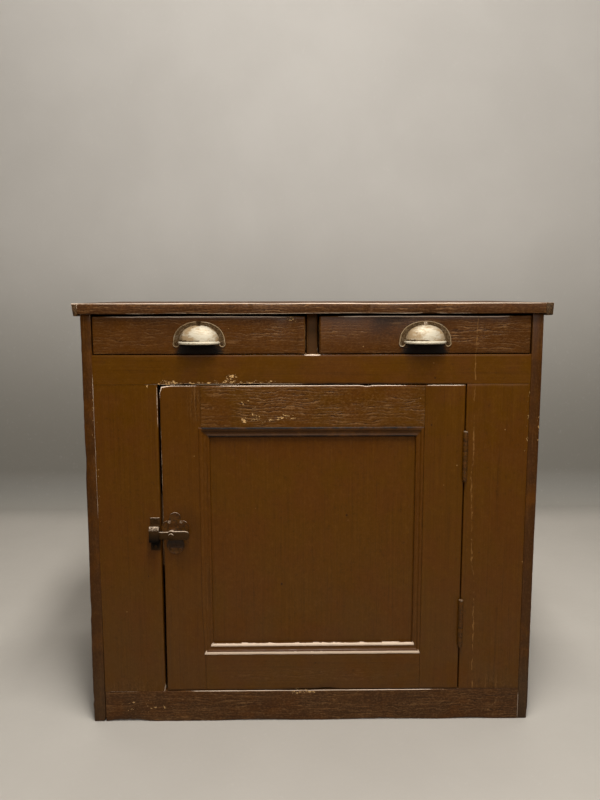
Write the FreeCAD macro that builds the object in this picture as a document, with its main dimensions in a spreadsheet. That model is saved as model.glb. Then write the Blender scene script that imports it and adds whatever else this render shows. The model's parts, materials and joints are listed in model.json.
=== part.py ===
import FreeCAD, Part
import os
import Sketcher

# Jelly cupboard: two shallow drawers with cup pulls over one framed and panelled door.
# Millimetres. +X is to the right, the front faces -Y and +Z is up. The origin is on the
# floor, at the middle of the outermost sizes. Depths are counted back from the case front.

SIZES = {
    "case_width": 914.0,
    "case_depth": 460.0,
    "side_height": 856.0,
    "board_thickness": 22.0,
    "top_thickness": 21.0,
    "top_overhang": 12.0,
    "top_board_width": 158.0,
    "batten_thickness": 15.0,
    "batten_height": 25.0,
    "nail_margin": 28.0,
    "drawer_opening": 80.5,
    "drawer_rail_height": 59.0,
    "base_rail_height": 68.0,
    "door_opening": 617.0,
    "tenon_length": 12.0,
    "tenon_thickness": 8.0,
    "tenon_shoulder": 9.0,
    "partition_thickness": 22.0,
    "partition_setback": 25.0,
    "runner_width": 22.0,
    "runner_height": 22.0,
    "floor_thickness": 18.0,
    "bearer_height": 28.0,
    "bearer_thickness": 20.0,
    "shelf_level": 380.0,
    "shelf_thickness": 20.0,
    "shelf_setback": 45.0,
    "back_thickness": 12.0,
    "back_rebate": 10.0,
    "back_lift": 30.0,
    "back_tongue": 5.0,
    "back_rail_thickness": 20.0,
    "shrink_gap": 1.0,
    "door_gap_hinge": 2.25,
    "door_gap_latch": 4.5,
    "door_gap_ends": 2.0,
    "door_stile_width": 81.0,
    "door_rail_top_height": 88.0,
    "door_rail_bottom_height": 78.0,
    "panel_recess": 9.0,
    "panel_thickness": 8.0,
    "panel_groove": 8.0,
    "moulding_width": 16.5,
    "moulding_depth": 10.5,
    "stop_clearance": 0.3,
    "stop_lap": 12.0,
    "stop_height": 150.0,
    "stop_thickness": 15.0,
    "hinge_height": 98.0,
    "hinge_upper_drop": 144.5,
    "hinge_lower_rise": 146.0,
    "hinge_screw_depth": 11.0,
    "hinge_screw_pitch": 33.0,
    "knuckle_radius": 5.0,
    "leaf_thickness": 2.0,
    "leaf_depth": 20.0,
    "leaf_gap": 0.25,
    "pin_radius": 2.5,
    "pin_slack": 0.1,
    "pin_head_radius": 4.2,
    "pin_head_height": 2.5,
    "running_gap": 0.3,
    "screw_head_radius": 3.2,
    "screw_shank_radius": 1.7,
    "screw_length": 16.0,
    "screw_slack": 0.1,
    "nail_head_radius": 3.0,
    "nail_shank_radius": 1.4,
    "nail_length": 45.0,
    "latch_rise": 18.25,
    "latch_inset": 18.0,
    "latch_plate_thickness": 2.5,
    "latch_lobe_reach": 14.0,
    "latch_lobe_radius": 14.0,
    "latch_crown_radius": 12.0,
    "latch_crown_rise": 33.0,
    "latch_foot_radius": 18.0,
    "latch_foot_drop": 23.5,
    "latch_shift": 7.0,
    "latch_screw_rise": 25.0,
    "latch_screw_drop": 32.5,
    "latch_screw_spread": 12.0,
    "latch_screw_foot_spread": 9.0,
    "boss_radius": 9.0,
    "lever_standoff": 9.7,
    "lever_thickness": 5.3,
    "lever_bar_height": 15.0,
    "lever_hub_radius": 10.0,
    "lever_tongue": 44.0,
    "lever_thumb": 28.0,
    "lever_thumb_height": 18.0,
    "pivot_radius": 3.0,
    "pivot_head_radius": 5.5,
    "keeper_gap": 1.0,
    "keeper_width": 20.0,
    "keeper_height": 69.0,
    "keeper_plate_thickness": 2.5,
    "keeper_hook_height": 32.0,
    "keeper_sole": 4.0,
    "keeper_lip": 8.0,
    "keeper_ramp": 7.0,
    "keeper_ease": 2.0,
    "keeper_screw_reach": 26.6,
    "drawer_gap_side": 2.5,
    "drawer_gap_below": 1.5,
    "drawer_gap_above": 5.5,
    "drawer_stop_thickness": 9.7,
    "drawer_front_thickness": 20.0,
    "drawer_side_thickness": 12.0,
    "drawer_side_height": 66.0,
    "drawer_back_thickness": 12.0,
    "drawer_back_inset": 6.0,
    "drawer_bottom_thickness": 6.0,
    "drawer_bottom_rise": 8.0,
    "drawer_groove": 5.0,
    "dovetail_lap": 6.0,
    "dovetail_flare": 3.0,
    "dovetail_pin": 8.0,
    "pull_width": 104.0,
    "pull_height": 50.0,
    "pull_projection": 28.0,
    "pull_lift": 14.5,
    "pull_plate_thickness": 2.0,
    "pull_wall": 1.8,
    "pull_lip": 1.2,
    "pull_lip_height": 3.0,
    "pull_lip_width": 83.0,
    "pull_ear_radius": 7.0,
    "cup_width": 75.0,
    "cup_height": 41.0,
    "pull_screw_inset": 8.0,
    "pull_screw_rise": 6.0,
    "pull_screw_drop": 4.5,
}

BACK_BOARDS = 6
FLOOR_BOARDS = 3
NAILS_PER_BATTEN = 5
KNUCKLES = 5
# The panel moulding's section as shares of its width and depth: flat back, small inner bead,
# hollow, then the outer bead that stands against the frame.
MOULDING_PROFILE = (
    (0.0, 0.0),
    (1.0, 0.0),
    (1.0, 0.17),
    (0.95, 0.3),
    (0.87, 0.3),
    (0.82, 0.22),
    (0.62, 0.29),
    (0.48, 0.5),
    (0.38, 0.84),
    (0.26, 0.97),
    (0.12, 1.0),
    (0.0, 0.9),
)
LEFT = -1
RIGHT = 1
SIDE_NAMES = {LEFT: "left", RIGHT: "right"}

doc = FreeCAD.newDocument("JellyCupboard")
nodes = {}


class Size:
    """A length that carries its value and the sheet expression it comes from."""

    def __init__(self, value, text):
        self.value = float(value)
        self.text = text

    def __add__(self, other):
        other = as_size(other)
        return Size(self.value + other.value, f"({self.text} + {other.text})")

    def __sub__(self, other):
        other = as_size(other)
        return Size(self.value - other.value, f"({self.text} - {other.text})")

    def __mul__(self, other):
        other = as_size(other)
        return Size(self.value * other.value, f"({self.text} * {other.text})")

    def __truediv__(self, other):
        other = as_size(other)
        return Size(self.value / other.value, f"({self.text} / {other.text})")

    def __radd__(self, other):
        return as_size(other) + self

    def __rsub__(self, other):
        return as_size(other) - self

    def __rmul__(self, other):
        return as_size(other) * self

    def __neg__(self):
        return as_size(0) - self


def as_size(number):
    """A Size from a Size or a bare number."""
    return number if isinstance(number, Size) else Size(number, repr(float(number)))


def fill_sheet():
    """Write the driving sizes to the spreadsheet, one alias to a row."""
    sheet = doc.addObject("Spreadsheet::Sheet", "Sizes")
    for row, (alias, value) in enumerate(SIZES.items(), start=1):
        sheet.set(f"A{row}", alias)
        sheet.set(f"B{row}", str(value))
        sheet.setAlias(f"B{row}", alias)
    doc.recompute()


class Dimensions:
    """The driving sizes by name, and the places that several pieces share."""

    def __init__(self):
        for alias, value in SIZES.items():
            setattr(self, alias, Size(value, f"Sizes.{alias}"))
        self.front = (self.pull_projection - self.case_depth) / 2
        self.outer = self.case_width / 2
        self.inner = self.outer - self.board_thickness
        self.opening = self.door_opening / 2
        self.top = self.side_height + self.top_thickness
        self.rail_top = self.side_height - self.drawer_opening
        self.rail_bottom = self.rail_top - self.drawer_rail_height
        self.back_face = self.case_depth - self.back_thickness
        self.back_rail_front = self.back_face - self.back_rail_thickness
        self.tenon_front = (self.board_thickness - self.tenon_thickness) / 2
        self.tenon_back = self.tenon_front + self.tenon_thickness
        self.door_left = self.door_gap_latch - self.opening
        self.door_right = self.opening - self.door_gap_hinge
        self.door_bottom = self.base_rail_height + self.door_gap_ends
        self.door_top = self.rail_bottom - self.door_gap_ends
        self.door_back = self.board_thickness - self.stop_clearance
        self.panel_left = self.door_left + self.door_stile_width
        self.panel_right = self.door_right - self.door_stile_width
        self.panel_bottom = self.door_bottom + self.door_rail_bottom_height
        self.panel_top = self.door_top - self.door_rail_top_height
        self.panel_back = self.panel_recess + self.panel_thickness
        self.hinge_x = self.opening - self.door_gap_hinge / 2
        self.hinge_depth = -(self.knuckle_radius + self.running_gap)
        self.hinge_upper = self.door_top - self.hinge_upper_drop
        self.hinge_lower = self.door_bottom + self.hinge_lower_rise
        self.pivot_x = self.door_left + self.latch_inset
        self.latch_level = (self.door_bottom + self.door_top) / 2 + self.latch_rise
        self.lever_front = -(self.lever_standoff + self.lever_thickness)
        self.keeper_right = -self.opening - self.keeper_gap
        self.drawer_length = self.back_rail_front - self.drawer_stop_thickness - self.running_gap


def bind(item, prop, size):
    """Bind a property of a document object to its sheet expression."""
    item.setExpression(prop, as_size(size).text)


def place(item, x, depth, z):
    """Put an object at a place given by x, the depth behind the case front, and z."""
    bind(item, "Placement.Base.x", x)
    bind(item, "Placement.Base.y", d.front + depth)
    bind(item, "Placement.Base.z", z)


def turn(item, axis):
    """Turn an object that is made along +Z to lie along another axis."""
    target = FreeCAD.Vector(*axis)
    item.Placement = FreeCAD.Placement(FreeCAD.Vector(), FreeCAD.Rotation(FreeCAD.Vector(0, 0, 1), target))


def box(name, x, depth, z):
    """A board between two planes along each axis."""
    item = doc.addObject("Part::Box", name)
    for prop, (low, high) in (("Length", x), ("Width", depth), ("Height", z)):
        bind(item, prop, as_size(high) - low)
    place(item, x[0], depth[0], z[0])
    return item


def rod(name, start, axis, radius, length):
    """A round bar from a starting point along an axis."""
    item = doc.addObject("Part::Cylinder", name)
    turn(item, axis)
    bind(item, "Radius", radius)
    bind(item, "Height", length)
    place(item, *start)
    return item


def cone(name, start, axis, first, last, length):
    """A tapered bar that runs from one radius to another."""
    item = doc.addObject("Part::Cone", name)
    turn(item, axis)
    bind(item, "Radius1", first)
    bind(item, "Radius2", last)
    bind(item, "Height", length)
    place(item, *start)
    return item


def fuse(name, pieces):
    """One solid from several that meet."""
    item = doc.addObject("Part::MultiFuse", name)
    item.Shapes = pieces
    item.Refine = True
    return item


def group(name, pieces):
    """Several separate solids under one name."""
    item = doc.addObject("Part::Compound", name)
    item.Links = pieces
    return item


def cut(name, base, tools):
    """A piece with the shapes of its tools taken out of it."""
    item = doc.addObject("Part::Cut", name)
    item.Base = base
    item.Tool = tools[0] if len(tools) == 1 else fuse(name + "_tools", tools)
    item.Refine = True
    return item


def common(name, base, tool):
    """The part of a piece that lies inside another."""
    item = doc.addObject("Part::Common", name)
    item.Base = base
    item.Tool = tool
    return item


def keep(name, item):
    """Make an object a sub-part: its Label is the node's and the file's name."""
    item.Label = name
    nodes[name] = item
    return item


def mirrored(side, near, far):
    """A span of x that is given for the right side, on the side asked for."""
    return (near, far) if side == RIGHT else (-far, -near)


def shifted(point, axis, length):
    """A point moved along an axis."""
    return tuple(as_size(start) + length * step for start, step in zip(point, axis))


def countersunk(name, point, axis, slack, length):
    """A countersunk screw from its head's face inwards, or its hole if slack is given."""
    head = d.screw_head_radius + slack
    shank = d.screw_shank_radius + slack
    taper = d.screw_head_radius - d.screw_shank_radius
    pieces = [
        cone(name + "_head", point, axis, head, shank, taper),
        rod(name + "_shank", shifted(point, axis, taper), axis, shank, length - taper),
    ]
    return fuse(name, pieces)


def screws_and_holes(name, points, axis, length):
    """A set of like screws as one node, and the list of the holes that they go in."""
    screws = []
    holes = []
    for number, point in enumerate(points, start=1):
        screws.append(countersunk(f"{name}_{number}", point, axis, as_size(0), length))
        hole_length = length + d.screw_slack
        holes.append(countersunk(f"{name}_hole_{number}", point, axis, d.screw_slack, hole_length))
    keep(name, group(name, screws))
    return holes


def origin_plane(body, role):
    """One of a body's own origin planes."""
    return next(item for item in body.Origin.OriginFeatures if item.Role == role)


def outline(body, name, role, corners):
    """A closed sketch of straight lines whose corners are fixed to sheet expressions."""
    sketch = body.newObject("Sketcher::SketchObject", name)
    sketch.AttachmentSupport = [(origin_plane(body, role), "")]
    sketch.MapMode = "FlatFace"
    points = [FreeCAD.Vector(u.value, v.value, 0) for u, v in corners]
    count = len(points)
    for index in range(count):
        sketch.addGeometry(Part.LineSegment(points[index], points[(index + 1) % count]), False)
    for index, (u, v) in enumerate(corners):
        previous = (index - 1) % count
        sketch.addConstraint(Sketcher.Constraint("Coincident", previous, 2, index, 1))
        for kind, letter, distance in (("DistanceX", "u", u), ("DistanceY", "v", v)):
            sketch.addConstraint(Sketcher.Constraint(kind, -1, 1, index, 1, distance.value))
            sketch.renameConstraint(sketch.ConstraintCount - 1, f"{letter}{index}")
            bind(sketch, f"Constraints.{letter}{index}", distance)
    return sketch


def padded_outline(name, role, corners, length, middle=False):
    """A body made by padding a straight-sided outline."""
    body = doc.addObject("PartDesign::Body", name)
    sketch = outline(body, name + "_outline", role, corners)
    pad = body.newObject("PartDesign::Pad", name + "_pad")
    pad.Profile = sketch
    pad.SideType = "Symmetric" if middle else "One side"
    bind(pad, "Length", length)
    return body


# ---- case ---------------------------------------------------------------------------------

def front_stile(side):
    """An upright of the case front, tenoned into the rail above it and the rail below it."""
    name = "front_stile_" + SIDE_NAMES[side]
    x = mirrored(side, d.opening, d.inner)
    board = box(name + "_board", x, (0, d.board_thickness), (d.base_rail_height, d.rail_bottom))
    tenon_x = (x[0] + d.tenon_shoulder, x[1] - d.tenon_shoulder)
    tenon_z = (d.base_rail_height - d.tenon_length, d.rail_bottom + d.tenon_length)
    tenon = box(name + "_tenon", tenon_x, (d.tenon_front, d.tenon_back), tenon_z)
    return fuse(name + "_uncut", [board, tenon])


def front_rail(name, low, high, stiles):
    """A board across the case front, tenoned into both sides and mortised for the stiles."""
    board = box(name + "_board", (-d.inner, d.inner), (0, d.board_thickness), (low, high))
    reach = d.inner + d.tenon_length
    tenon_z = (low + d.tenon_shoulder, high - d.tenon_shoulder)
    tenon = box(name + "_tenon", (-reach, reach), (d.tenon_front, d.tenon_back), tenon_z)
    return keep(name, cut(name, fuse(name + "_uncut", [board, tenon]), stiles))


def back_rail():
    """The rail across the back under the top, which the runners and back boards meet."""
    reach = d.inner + d.tenon_length
    z = (d.rail_top - d.runner_height, d.side_height)
    depth = (d.back_rail_front, d.back_face)
    board = box("back_rail_board", (-d.inner, d.inner), depth, z)
    shoulder = (d.back_rail_thickness - d.tenon_thickness) / 2
    tenon_z = (z[0] + d.tenon_shoulder, z[1] - d.tenon_shoulder)
    tenon = box("back_rail_tenon", (-reach, reach), (depth[0] + shoulder, depth[1] - shoulder), tenon_z)
    return keep("top_back_rail", fuse("top_back_rail", [board, tenon]))


def case_side(side, rails):
    """A side board down to the floor, mortised for the rails and rebated for the back."""
    name = "side_" + SIDE_NAMES[side]
    board = box(name + "_board", mirrored(side, d.inner, d.outer), (0, d.case_depth), (0, d.side_height))
    rebate_x = mirrored(side, d.inner, d.inner + d.back_rebate)
    rebate = box(name + "_rebate", rebate_x, (d.back_face, d.case_depth), (0, d.side_height))
    keep(name, cut(name, board, [rebate] + rails))


def case_front(hinge_leaves, stile_holes):
    """The front frame and the boards at its ends, with the hinge and latch fastenings let in."""
    stiles = {side: front_stile(side) for side in SIDE_NAMES}
    rails = [
        front_rail("base_rail", as_size(0), d.base_rail_height, list(stiles.values())),
        front_rail("drawer_rail", d.rail_bottom, d.rail_top, list(stiles.values())),
        back_rail(),
    ]
    for side in SIDE_NAMES:
        case_side(side, rails)
    keep("front_stile_left", cut("front_stile_left", stiles[LEFT], stile_holes[LEFT]))
    keep("front_stile_right", cut("front_stile_right", stiles[RIGHT], hinge_leaves + stile_holes[RIGHT]))


def batten_nail(name, side, depth, slack):
    """A nail driven through an end batten into the top, or its hole if slack is given."""
    axis = (-side, 0, 0)
    start = (side * (d.outer + d.batten_thickness), depth, d.side_height + d.top_thickness / 2)
    head = d.nail_head_radius + slack
    shank = d.nail_shank_radius + slack
    length = d.nail_length + slack
    pieces = [
        rod(name + "_head", start, axis, head, d.nail_shank_radius + slack),
        rod(name + "_shank", start, axis, shank, length),
    ]
    return fuse(name, pieces)


def top():
    """Three boards side by side, with a nailed batten over the end grain at each end."""
    spacing = (d.case_depth + d.top_overhang - 2 * d.nail_margin) / (NAILS_PER_BATTEN - 1)
    nails = []
    holes = {LEFT: [], RIGHT: []}
    for side in SIDE_NAMES:
        for number in range(NAILS_PER_BATTEN):
            depth = d.nail_margin - d.top_overhang + spacing * number
            label = f"nail_{SIDE_NAMES[side]}_{number}"
            nails.append(batten_nail(label, side, depth, as_size(0)))
            holes[side].append(batten_nail(label + "_hole", side, depth, d.screw_slack))
    keep("batten_nails", group("batten_nails", nails))
    joints = (-d.top_overhang, d.top_board_width - d.top_overhang, 2 * d.top_board_width - d.top_overhang)
    edges = list(joints) + [d.case_depth]
    for index, word in enumerate(("front", "middle", "back")):
        name = "top_board_" + word
        span = (edges[index], edges[index + 1])
        board = box(name + "_board", (-d.outer, d.outer), span, (d.side_height, d.top))
        keep(name, cut(name, board, holes[LEFT] + holes[RIGHT]))
    for side in SIDE_NAMES:
        name = "top_batten_" + SIDE_NAMES[side]
        x = mirrored(side, d.outer, d.outer + d.batten_thickness)
        bar = box(name + "_bar", x, (-d.top_overhang, d.case_depth), (d.top - d.batten_height, d.top))
        keep(name, cut(name, bar, holes[side]))


def back_boards():
    """Upright tongued and grooved boards let into the rebates of the sides."""
    reach = d.inner + d.back_rebate
    pitch = 2 * reach / BACK_BOARDS
    z = (d.back_lift, d.side_height)
    third = d.back_thickness / 3
    tongue_depth = (d.back_face + third, d.case_depth - third)
    boards = []
    for index in range(BACK_BOARDS):
        left = pitch * index - reach
        last = index == BACK_BOARDS - 1
        right = left + pitch - (0 if last else d.shrink_gap)
        board = box(f"back_board_{index}", (left, right), (d.back_face, d.case_depth), z)
        if not last:
            tongue_x = (right, right + d.shrink_gap + d.back_tongue)
            tongue = box(f"back_tongue_{index}", tongue_x, tongue_depth, z)
            board = fuse(f"back_tongued_{index}", [board, tongue])
        if index:
            groove_x = (left, left + d.back_tongue + d.shrink_gap)
            groove = box(f"back_groove_{index}", groove_x, tongue_depth, z)
            board = cut(f"back_grooved_{index}", board, [groove])
        boards.append(board)
    keep("back_boards", group("back_boards", boards))


def drawer_carcase():
    """The partition between the drawers, the runners they slide on and their stops."""
    half = d.partition_thickness / 2
    keep("drawer_partition", box(
        "drawer_partition",
        (-half, half),
        (d.partition_setback, d.back_rail_front),
        (d.rail_top, d.side_height),
    ))
    run = (d.board_thickness, d.back_rail_front)
    z = (d.rail_top - d.runner_height, d.rail_top)
    ledge = half + d.runner_width
    keep("runner_centre", box("runner_centre", (-ledge, ledge), run, z))
    stop_z = (d.rail_top, d.rail_top + d.runner_height)
    stop_run = (d.drawer_length + d.running_gap, d.back_rail_front)
    stops = []
    for side in SIDE_NAMES:
        name = "runner_" + SIDE_NAMES[side]
        outer_x = mirrored(side, d.inner - d.runner_width, d.inner)
        inner_x = mirrored(side, half, ledge)
        keep(name, box(name, outer_x, run, z))
        stops.append(box(name + "_stop", outer_x, stop_run, stop_z))
        stops.append(box(name + "_centre_stop", inner_x, stop_run, stop_z))
    keep("drawer_stops", group("drawer_stops", stops))


def cupboard_inside():
    """The floor, the shelf and the bearers that carry them."""
    floor_z = (d.base_rail_height - d.floor_thickness, d.base_rail_height)
    pitch = (d.back_face - d.board_thickness) / FLOOR_BOARDS
    floor = []
    for index in range(FLOOR_BOARDS):
        start = d.board_thickness + pitch * index
        end = start + pitch - (0 if index == FLOOR_BOARDS - 1 else d.shrink_gap)
        floor.append(box(f"floor_board_{index}", (-d.inner, d.inner), (start, end), floor_z))
    keep("floor_boards", group("floor_boards", floor))
    low_z = (floor_z[0] - d.bearer_height, floor_z[0])
    high_z = (d.shelf_level - d.bearer_height, d.shelf_level)
    stop = d.inner - d.bearer_thickness
    low_run = (d.board_thickness, d.back_face)
    shelf_run = (d.shelf_setback + d.bearer_thickness, d.back_face)
    front_run = (d.board_thickness, d.board_thickness + d.bearer_thickness)
    low = [box("floor_bearer_front", (-stop, stop), front_run, low_z)]
    high = []
    for side in SIDE_NAMES:
        x = mirrored(side, stop, d.inner)
        low.append(box("floor_bearer_" + SIDE_NAMES[side], x, low_run, low_z))
        high.append(box("shelf_bearer_" + SIDE_NAMES[side], x, shelf_run, high_z))
    keep("floor_bearers", group("floor_bearers", low))
    keep("shelf_bearers", group("shelf_bearers", high))
    shelf_depth = (d.shelf_setback, d.back_face)
    shelf_z = (d.shelf_level, d.shelf_level + d.shelf_thickness)
    keep("shelf", box("shelf", (-d.inner, d.inner), shelf_depth, shelf_z))


def door_stop():
    """A strip on the back of the left stile that the closed door comes to rest against."""
    x = (-d.opening - d.board_thickness, d.door_left + d.stop_lap)
    depth = (d.board_thickness, d.board_thickness + d.stop_thickness)
    low = d.latch_level - d.stop_height / 2
    keep("door_stop", box("door_stop", x, depth, (low, low + d.stop_height)))


# ---- hinges -------------------------------------------------------------------------------

def hinge_leaf(name, side, middle, parities, holes):
    """One leaf of a butt hinge with its own share of the knuckles."""
    low = middle - d.hinge_height / 2
    near = d.leaf_gap / 2
    far = near + d.leaf_thickness
    x = (d.hinge_x + near, d.hinge_x + far) if side == RIGHT else (d.hinge_x - far, d.hinge_x - near)
    plate = box(name + "_plate", x, (0, d.leaf_depth), (low, low + d.hinge_height))
    pieces = [plate]
    pitch = (d.hinge_height + d.running_gap) / KNUCKLES
    for index in parities:
        start = low + pitch * index
        end = start + pitch - d.running_gap
        pieces.append(box(f"{name}_strap_{index}", x, (d.hinge_depth, 0), (start, end)))
        centre = (d.hinge_x, d.hinge_depth, start)
        pieces.append(rod(f"{name}_knuckle_{index}", centre, (0, 0, 1), d.knuckle_radius, end - start))
    bore = rod(
        name + "_bore",
        (d.hinge_x, d.hinge_depth, low),
        (0, 0, 1),
        d.pin_radius + d.pin_slack,
        d.hinge_height,
    )
    return keep(name, cut(name, fuse(name + "_uncut", pieces), [bore] + holes))


def hinge_pin(name, middle):
    """A headed pin through all the knuckles of one hinge."""
    low = middle - d.hinge_height / 2
    high = middle + d.hinge_height / 2
    pieces = [rod(name + "_shaft", (d.hinge_x, d.hinge_depth, low), (0, 0, 1), d.pin_radius, d.hinge_height)]
    for word, level in (("top", high), ("foot", low - d.pin_head_height)):
        start = (d.hinge_x, d.hinge_depth, level)
        pieces.append(rod(f"{name}_{word}", start, (0, 0, 1), d.pin_head_radius, d.pin_head_height))
    return fuse(name, pieces)


def hinge_screw_points(side):
    """Three screw places to a leaf, on the face that looks into the gap."""
    x = d.hinge_x + side * d.leaf_gap / 2
    points = []
    for middle in (d.hinge_upper, d.hinge_lower):
        for step in (-1, 0, 1):
            points.append((x, d.hinge_screw_depth, middle + step * d.hinge_screw_pitch))
    return points


def hinges():
    """Two butt hinges: the case leaves hold three knuckles each and the door leaves two."""
    case_holes = screws_and_holes("hinge_case_screws", hinge_screw_points(RIGHT), (1, 0, 0), d.screw_length)
    door_holes = screws_and_holes("hinge_door_screws", hinge_screw_points(LEFT), (-1, 0, 0), d.screw_length)
    case_leaves = []
    door_leaves = []
    pins = []
    levels = {"upper": d.hinge_upper, "lower": d.hinge_lower}
    for index, (word, middle) in enumerate(levels.items()):
        mine = slice(3 * index, 3 * index + 3)
        even = range(0, KNUCKLES, 2)
        odd = range(1, KNUCKLES, 2)
        case_leaves.append(hinge_leaf(f"hinge_{word}_case_leaf", RIGHT, middle, even, case_holes[mine]))
        door_leaves.append(hinge_leaf(f"hinge_{word}_door_leaf", LEFT, middle, odd, door_holes[mine]))
        pins.append(hinge_pin("hinge_pin_" + word, middle))
    keep("hinge_pins", group("hinge_pins", pins))
    return case_leaves, case_holes, door_leaves, door_holes


# ---- door ---------------------------------------------------------------------------------

def moulding_section():
    """Across and out through the panel moulding, from the corner of the panel and the frame."""
    return [(d.moulding_width * across, d.moulding_depth * out) for across, out in MOULDING_PROFILE]


def moulding_bar(name, lengthwise, across, centre, length):
    """A bar of moulding, its outer edge on the frame and its back on the panel."""
    body = padded_outline(name + "_bar", "YZ_Plane", moulding_section(), length, middle=True)
    outward = FreeCAD.Vector(0, -1, 0)
    turned = FreeCAD.Rotation(FreeCAD.Vector(*lengthwise), FreeCAD.Vector(*across), outward, "ZYX")
    body.Placement = FreeCAD.Placement(FreeCAD.Vector(), turned)
    place(body, centre[0], d.panel_recess, centre[1])
    return body


def mitre_block(name, corner, inward, level):
    """A wedge that takes a bar's end beyond the mitre. A level bar loses its upright side."""
    reach = d.moulding_width
    (x, z), (step_x, step_z) = corner, inward
    near = (x - reach * step_x, z - reach * step_z)
    far = (x + reach * 2 * step_x, z + reach * 2 * step_z)
    third = (near[0], far[1]) if level else (far[0], near[1])
    body = padded_outline(name, "XZ_Plane", [near, far, third], d.panel_recess * 6, middle=True)
    place(body, 0, 0, 0)
    return body


def panel_mouldings():
    """Four mitred mouldings that fill the step from the frame's face down to the panel."""
    mid_x = (d.panel_left + d.panel_right) / 2
    mid_z = (d.panel_bottom + d.panel_top) / 2
    wide = d.panel_right - d.panel_left
    tall = d.panel_top - d.panel_bottom
    xs = {"left": (d.panel_left, 1), "right": (d.panel_right, -1)}
    zs = {"bottom": (d.panel_bottom, 1), "top": (d.panel_top, -1)}
    bars = {
        "bottom": ((1, 0, 0), (0, 0, 1), (mid_x, d.panel_bottom), wide),
        "top": ((-1, 0, 0), (0, 0, -1), (mid_x, d.panel_top), wide),
        "left": ((0, 0, -1), (1, 0, 0), (d.panel_left, mid_z), tall),
        "right": ((0, 0, 1), (-1, 0, 0), (d.panel_right, mid_z), tall),
    }
    for word, (lengthwise, across, centre, length) in bars.items():
        name = "door_moulding_" + word
        blocks = []
        for word_x, (x, step_x) in xs.items():
            for word_z, (z, step_z) in zs.items():
                if word in (word_x, word_z):
                    label = f"{name}_mitre_{word_x}_{word_z}"
                    blocks.append(mitre_block(label, (x, z), (step_x, step_z), word in zs))
        keep(name, cut(name, moulding_bar(name, lengthwise, across, centre, length), blocks))


def door(leaves, leaf_holes, plate_holes):
    """A frame of two stiles and two rails, tenoned, with a panel loose in its grooves."""
    depth = (0, d.door_back)
    tenon = (d.tenon_front, d.tenon_back)
    groove = (d.panel_recess, d.panel_back)
    rails = []
    rail_spans = {
        "bottom": (d.door_bottom, d.panel_bottom, d.panel_bottom - d.panel_groove, d.panel_bottom),
        "top": (d.panel_top, d.door_top, d.panel_top, d.panel_top + d.panel_groove),
    }
    tenon_x = (d.panel_left - d.tenon_length * 2, d.panel_right + d.tenon_length * 2)
    for word, (low, high, groove_low, groove_high) in rail_spans.items():
        name = "door_rail_" + word
        board = box(name + "_board", (d.panel_left, d.panel_right), depth, (low, high))
        through = box(name + "_tenon", tenon_x, tenon, (low + d.tenon_shoulder, high - d.tenon_shoulder))
        slot = box(name + "_groove", tenon_x, groove, (groove_low, groove_high))
        rails.append(keep(name, cut(name, fuse(name + "_uncut", [board, through]), [slot])))
    slot_z = (d.panel_bottom - d.panel_groove, d.panel_top + d.panel_groove)
    stile_spans = {
        "latch": (d.door_left, d.panel_left, d.panel_left - d.panel_groove, d.panel_left),
        "hinge": (d.panel_right, d.door_right, d.panel_right, d.panel_right + d.panel_groove),
    }
    let_in = {"latch": plate_holes, "hinge": leaves + leaf_holes}
    for word, (low, high, groove_low, groove_high) in stile_spans.items():
        name = "door_stile_" + word
        fittings = let_in[word]
        board = box(name + "_board", (low, high), depth, (d.door_bottom, d.door_top))
        slot = box(name + "_groove", (groove_low, groove_high), groove, slot_z)
        keep(name, cut(name, board, [slot] + rails + fittings))
    reach = d.panel_groove - d.shrink_gap
    keep("door_panel", box(
        "door_panel",
        (d.panel_left - reach, d.panel_right + reach),
        groove,
        (d.panel_bottom - reach, d.panel_top + reach),
    ))
    panel_mouldings()


# ---- latch --------------------------------------------------------------------------------

def disc(name, x, z, radius, near, far):
    """A disc that faces the front, between two depths."""
    return rod(name, (x, near, z), (0, 1, 0), radius, as_size(far) - near)


def latch_plate():
    """A lobed plate on the door with a boss that carries the lever."""
    x = d.pivot_x + d.latch_shift
    face = -d.latch_plate_thickness
    lobes = [
        ("crown", x, d.latch_level + d.latch_crown_rise, d.latch_crown_radius),
        ("foot", x, d.latch_level - d.latch_foot_drop, d.latch_foot_radius),
        ("lobe_left", x - d.latch_lobe_reach, d.latch_level + d.latch_lobe_radius, d.latch_lobe_radius),
        ("lobe_right", x + d.latch_lobe_reach, d.latch_level + d.latch_lobe_radius, d.latch_lobe_radius),
        ("heart", x, d.latch_level + d.latch_lobe_reach, d.latch_foot_radius),
    ]
    pieces = [disc("latch_" + word, u, v, radius, face, 0) for word, u, v, radius in lobes]
    boss_front = d.running_gap - d.lever_standoff
    pieces.append(disc("latch_boss", d.pivot_x, d.latch_level, d.boss_radius, boss_front, 0))
    points = []
    for step in (-1, 1):
        points.append((x + step * d.latch_screw_spread, face, d.latch_level + d.latch_screw_rise))
        points.append((x + step * d.latch_screw_foot_spread, face, d.latch_level - d.latch_screw_drop))
    holes = screws_and_holes("latch_plate_screws", points, (0, 1, 0), d.screw_length)
    socket = disc("latch_socket", d.pivot_x, d.latch_level, d.pivot_radius, boss_front, 0)
    keep("latch_plate", cut("latch_plate", fuse("latch_plate_uncut", pieces), holes + [socket]))
    return holes


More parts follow.
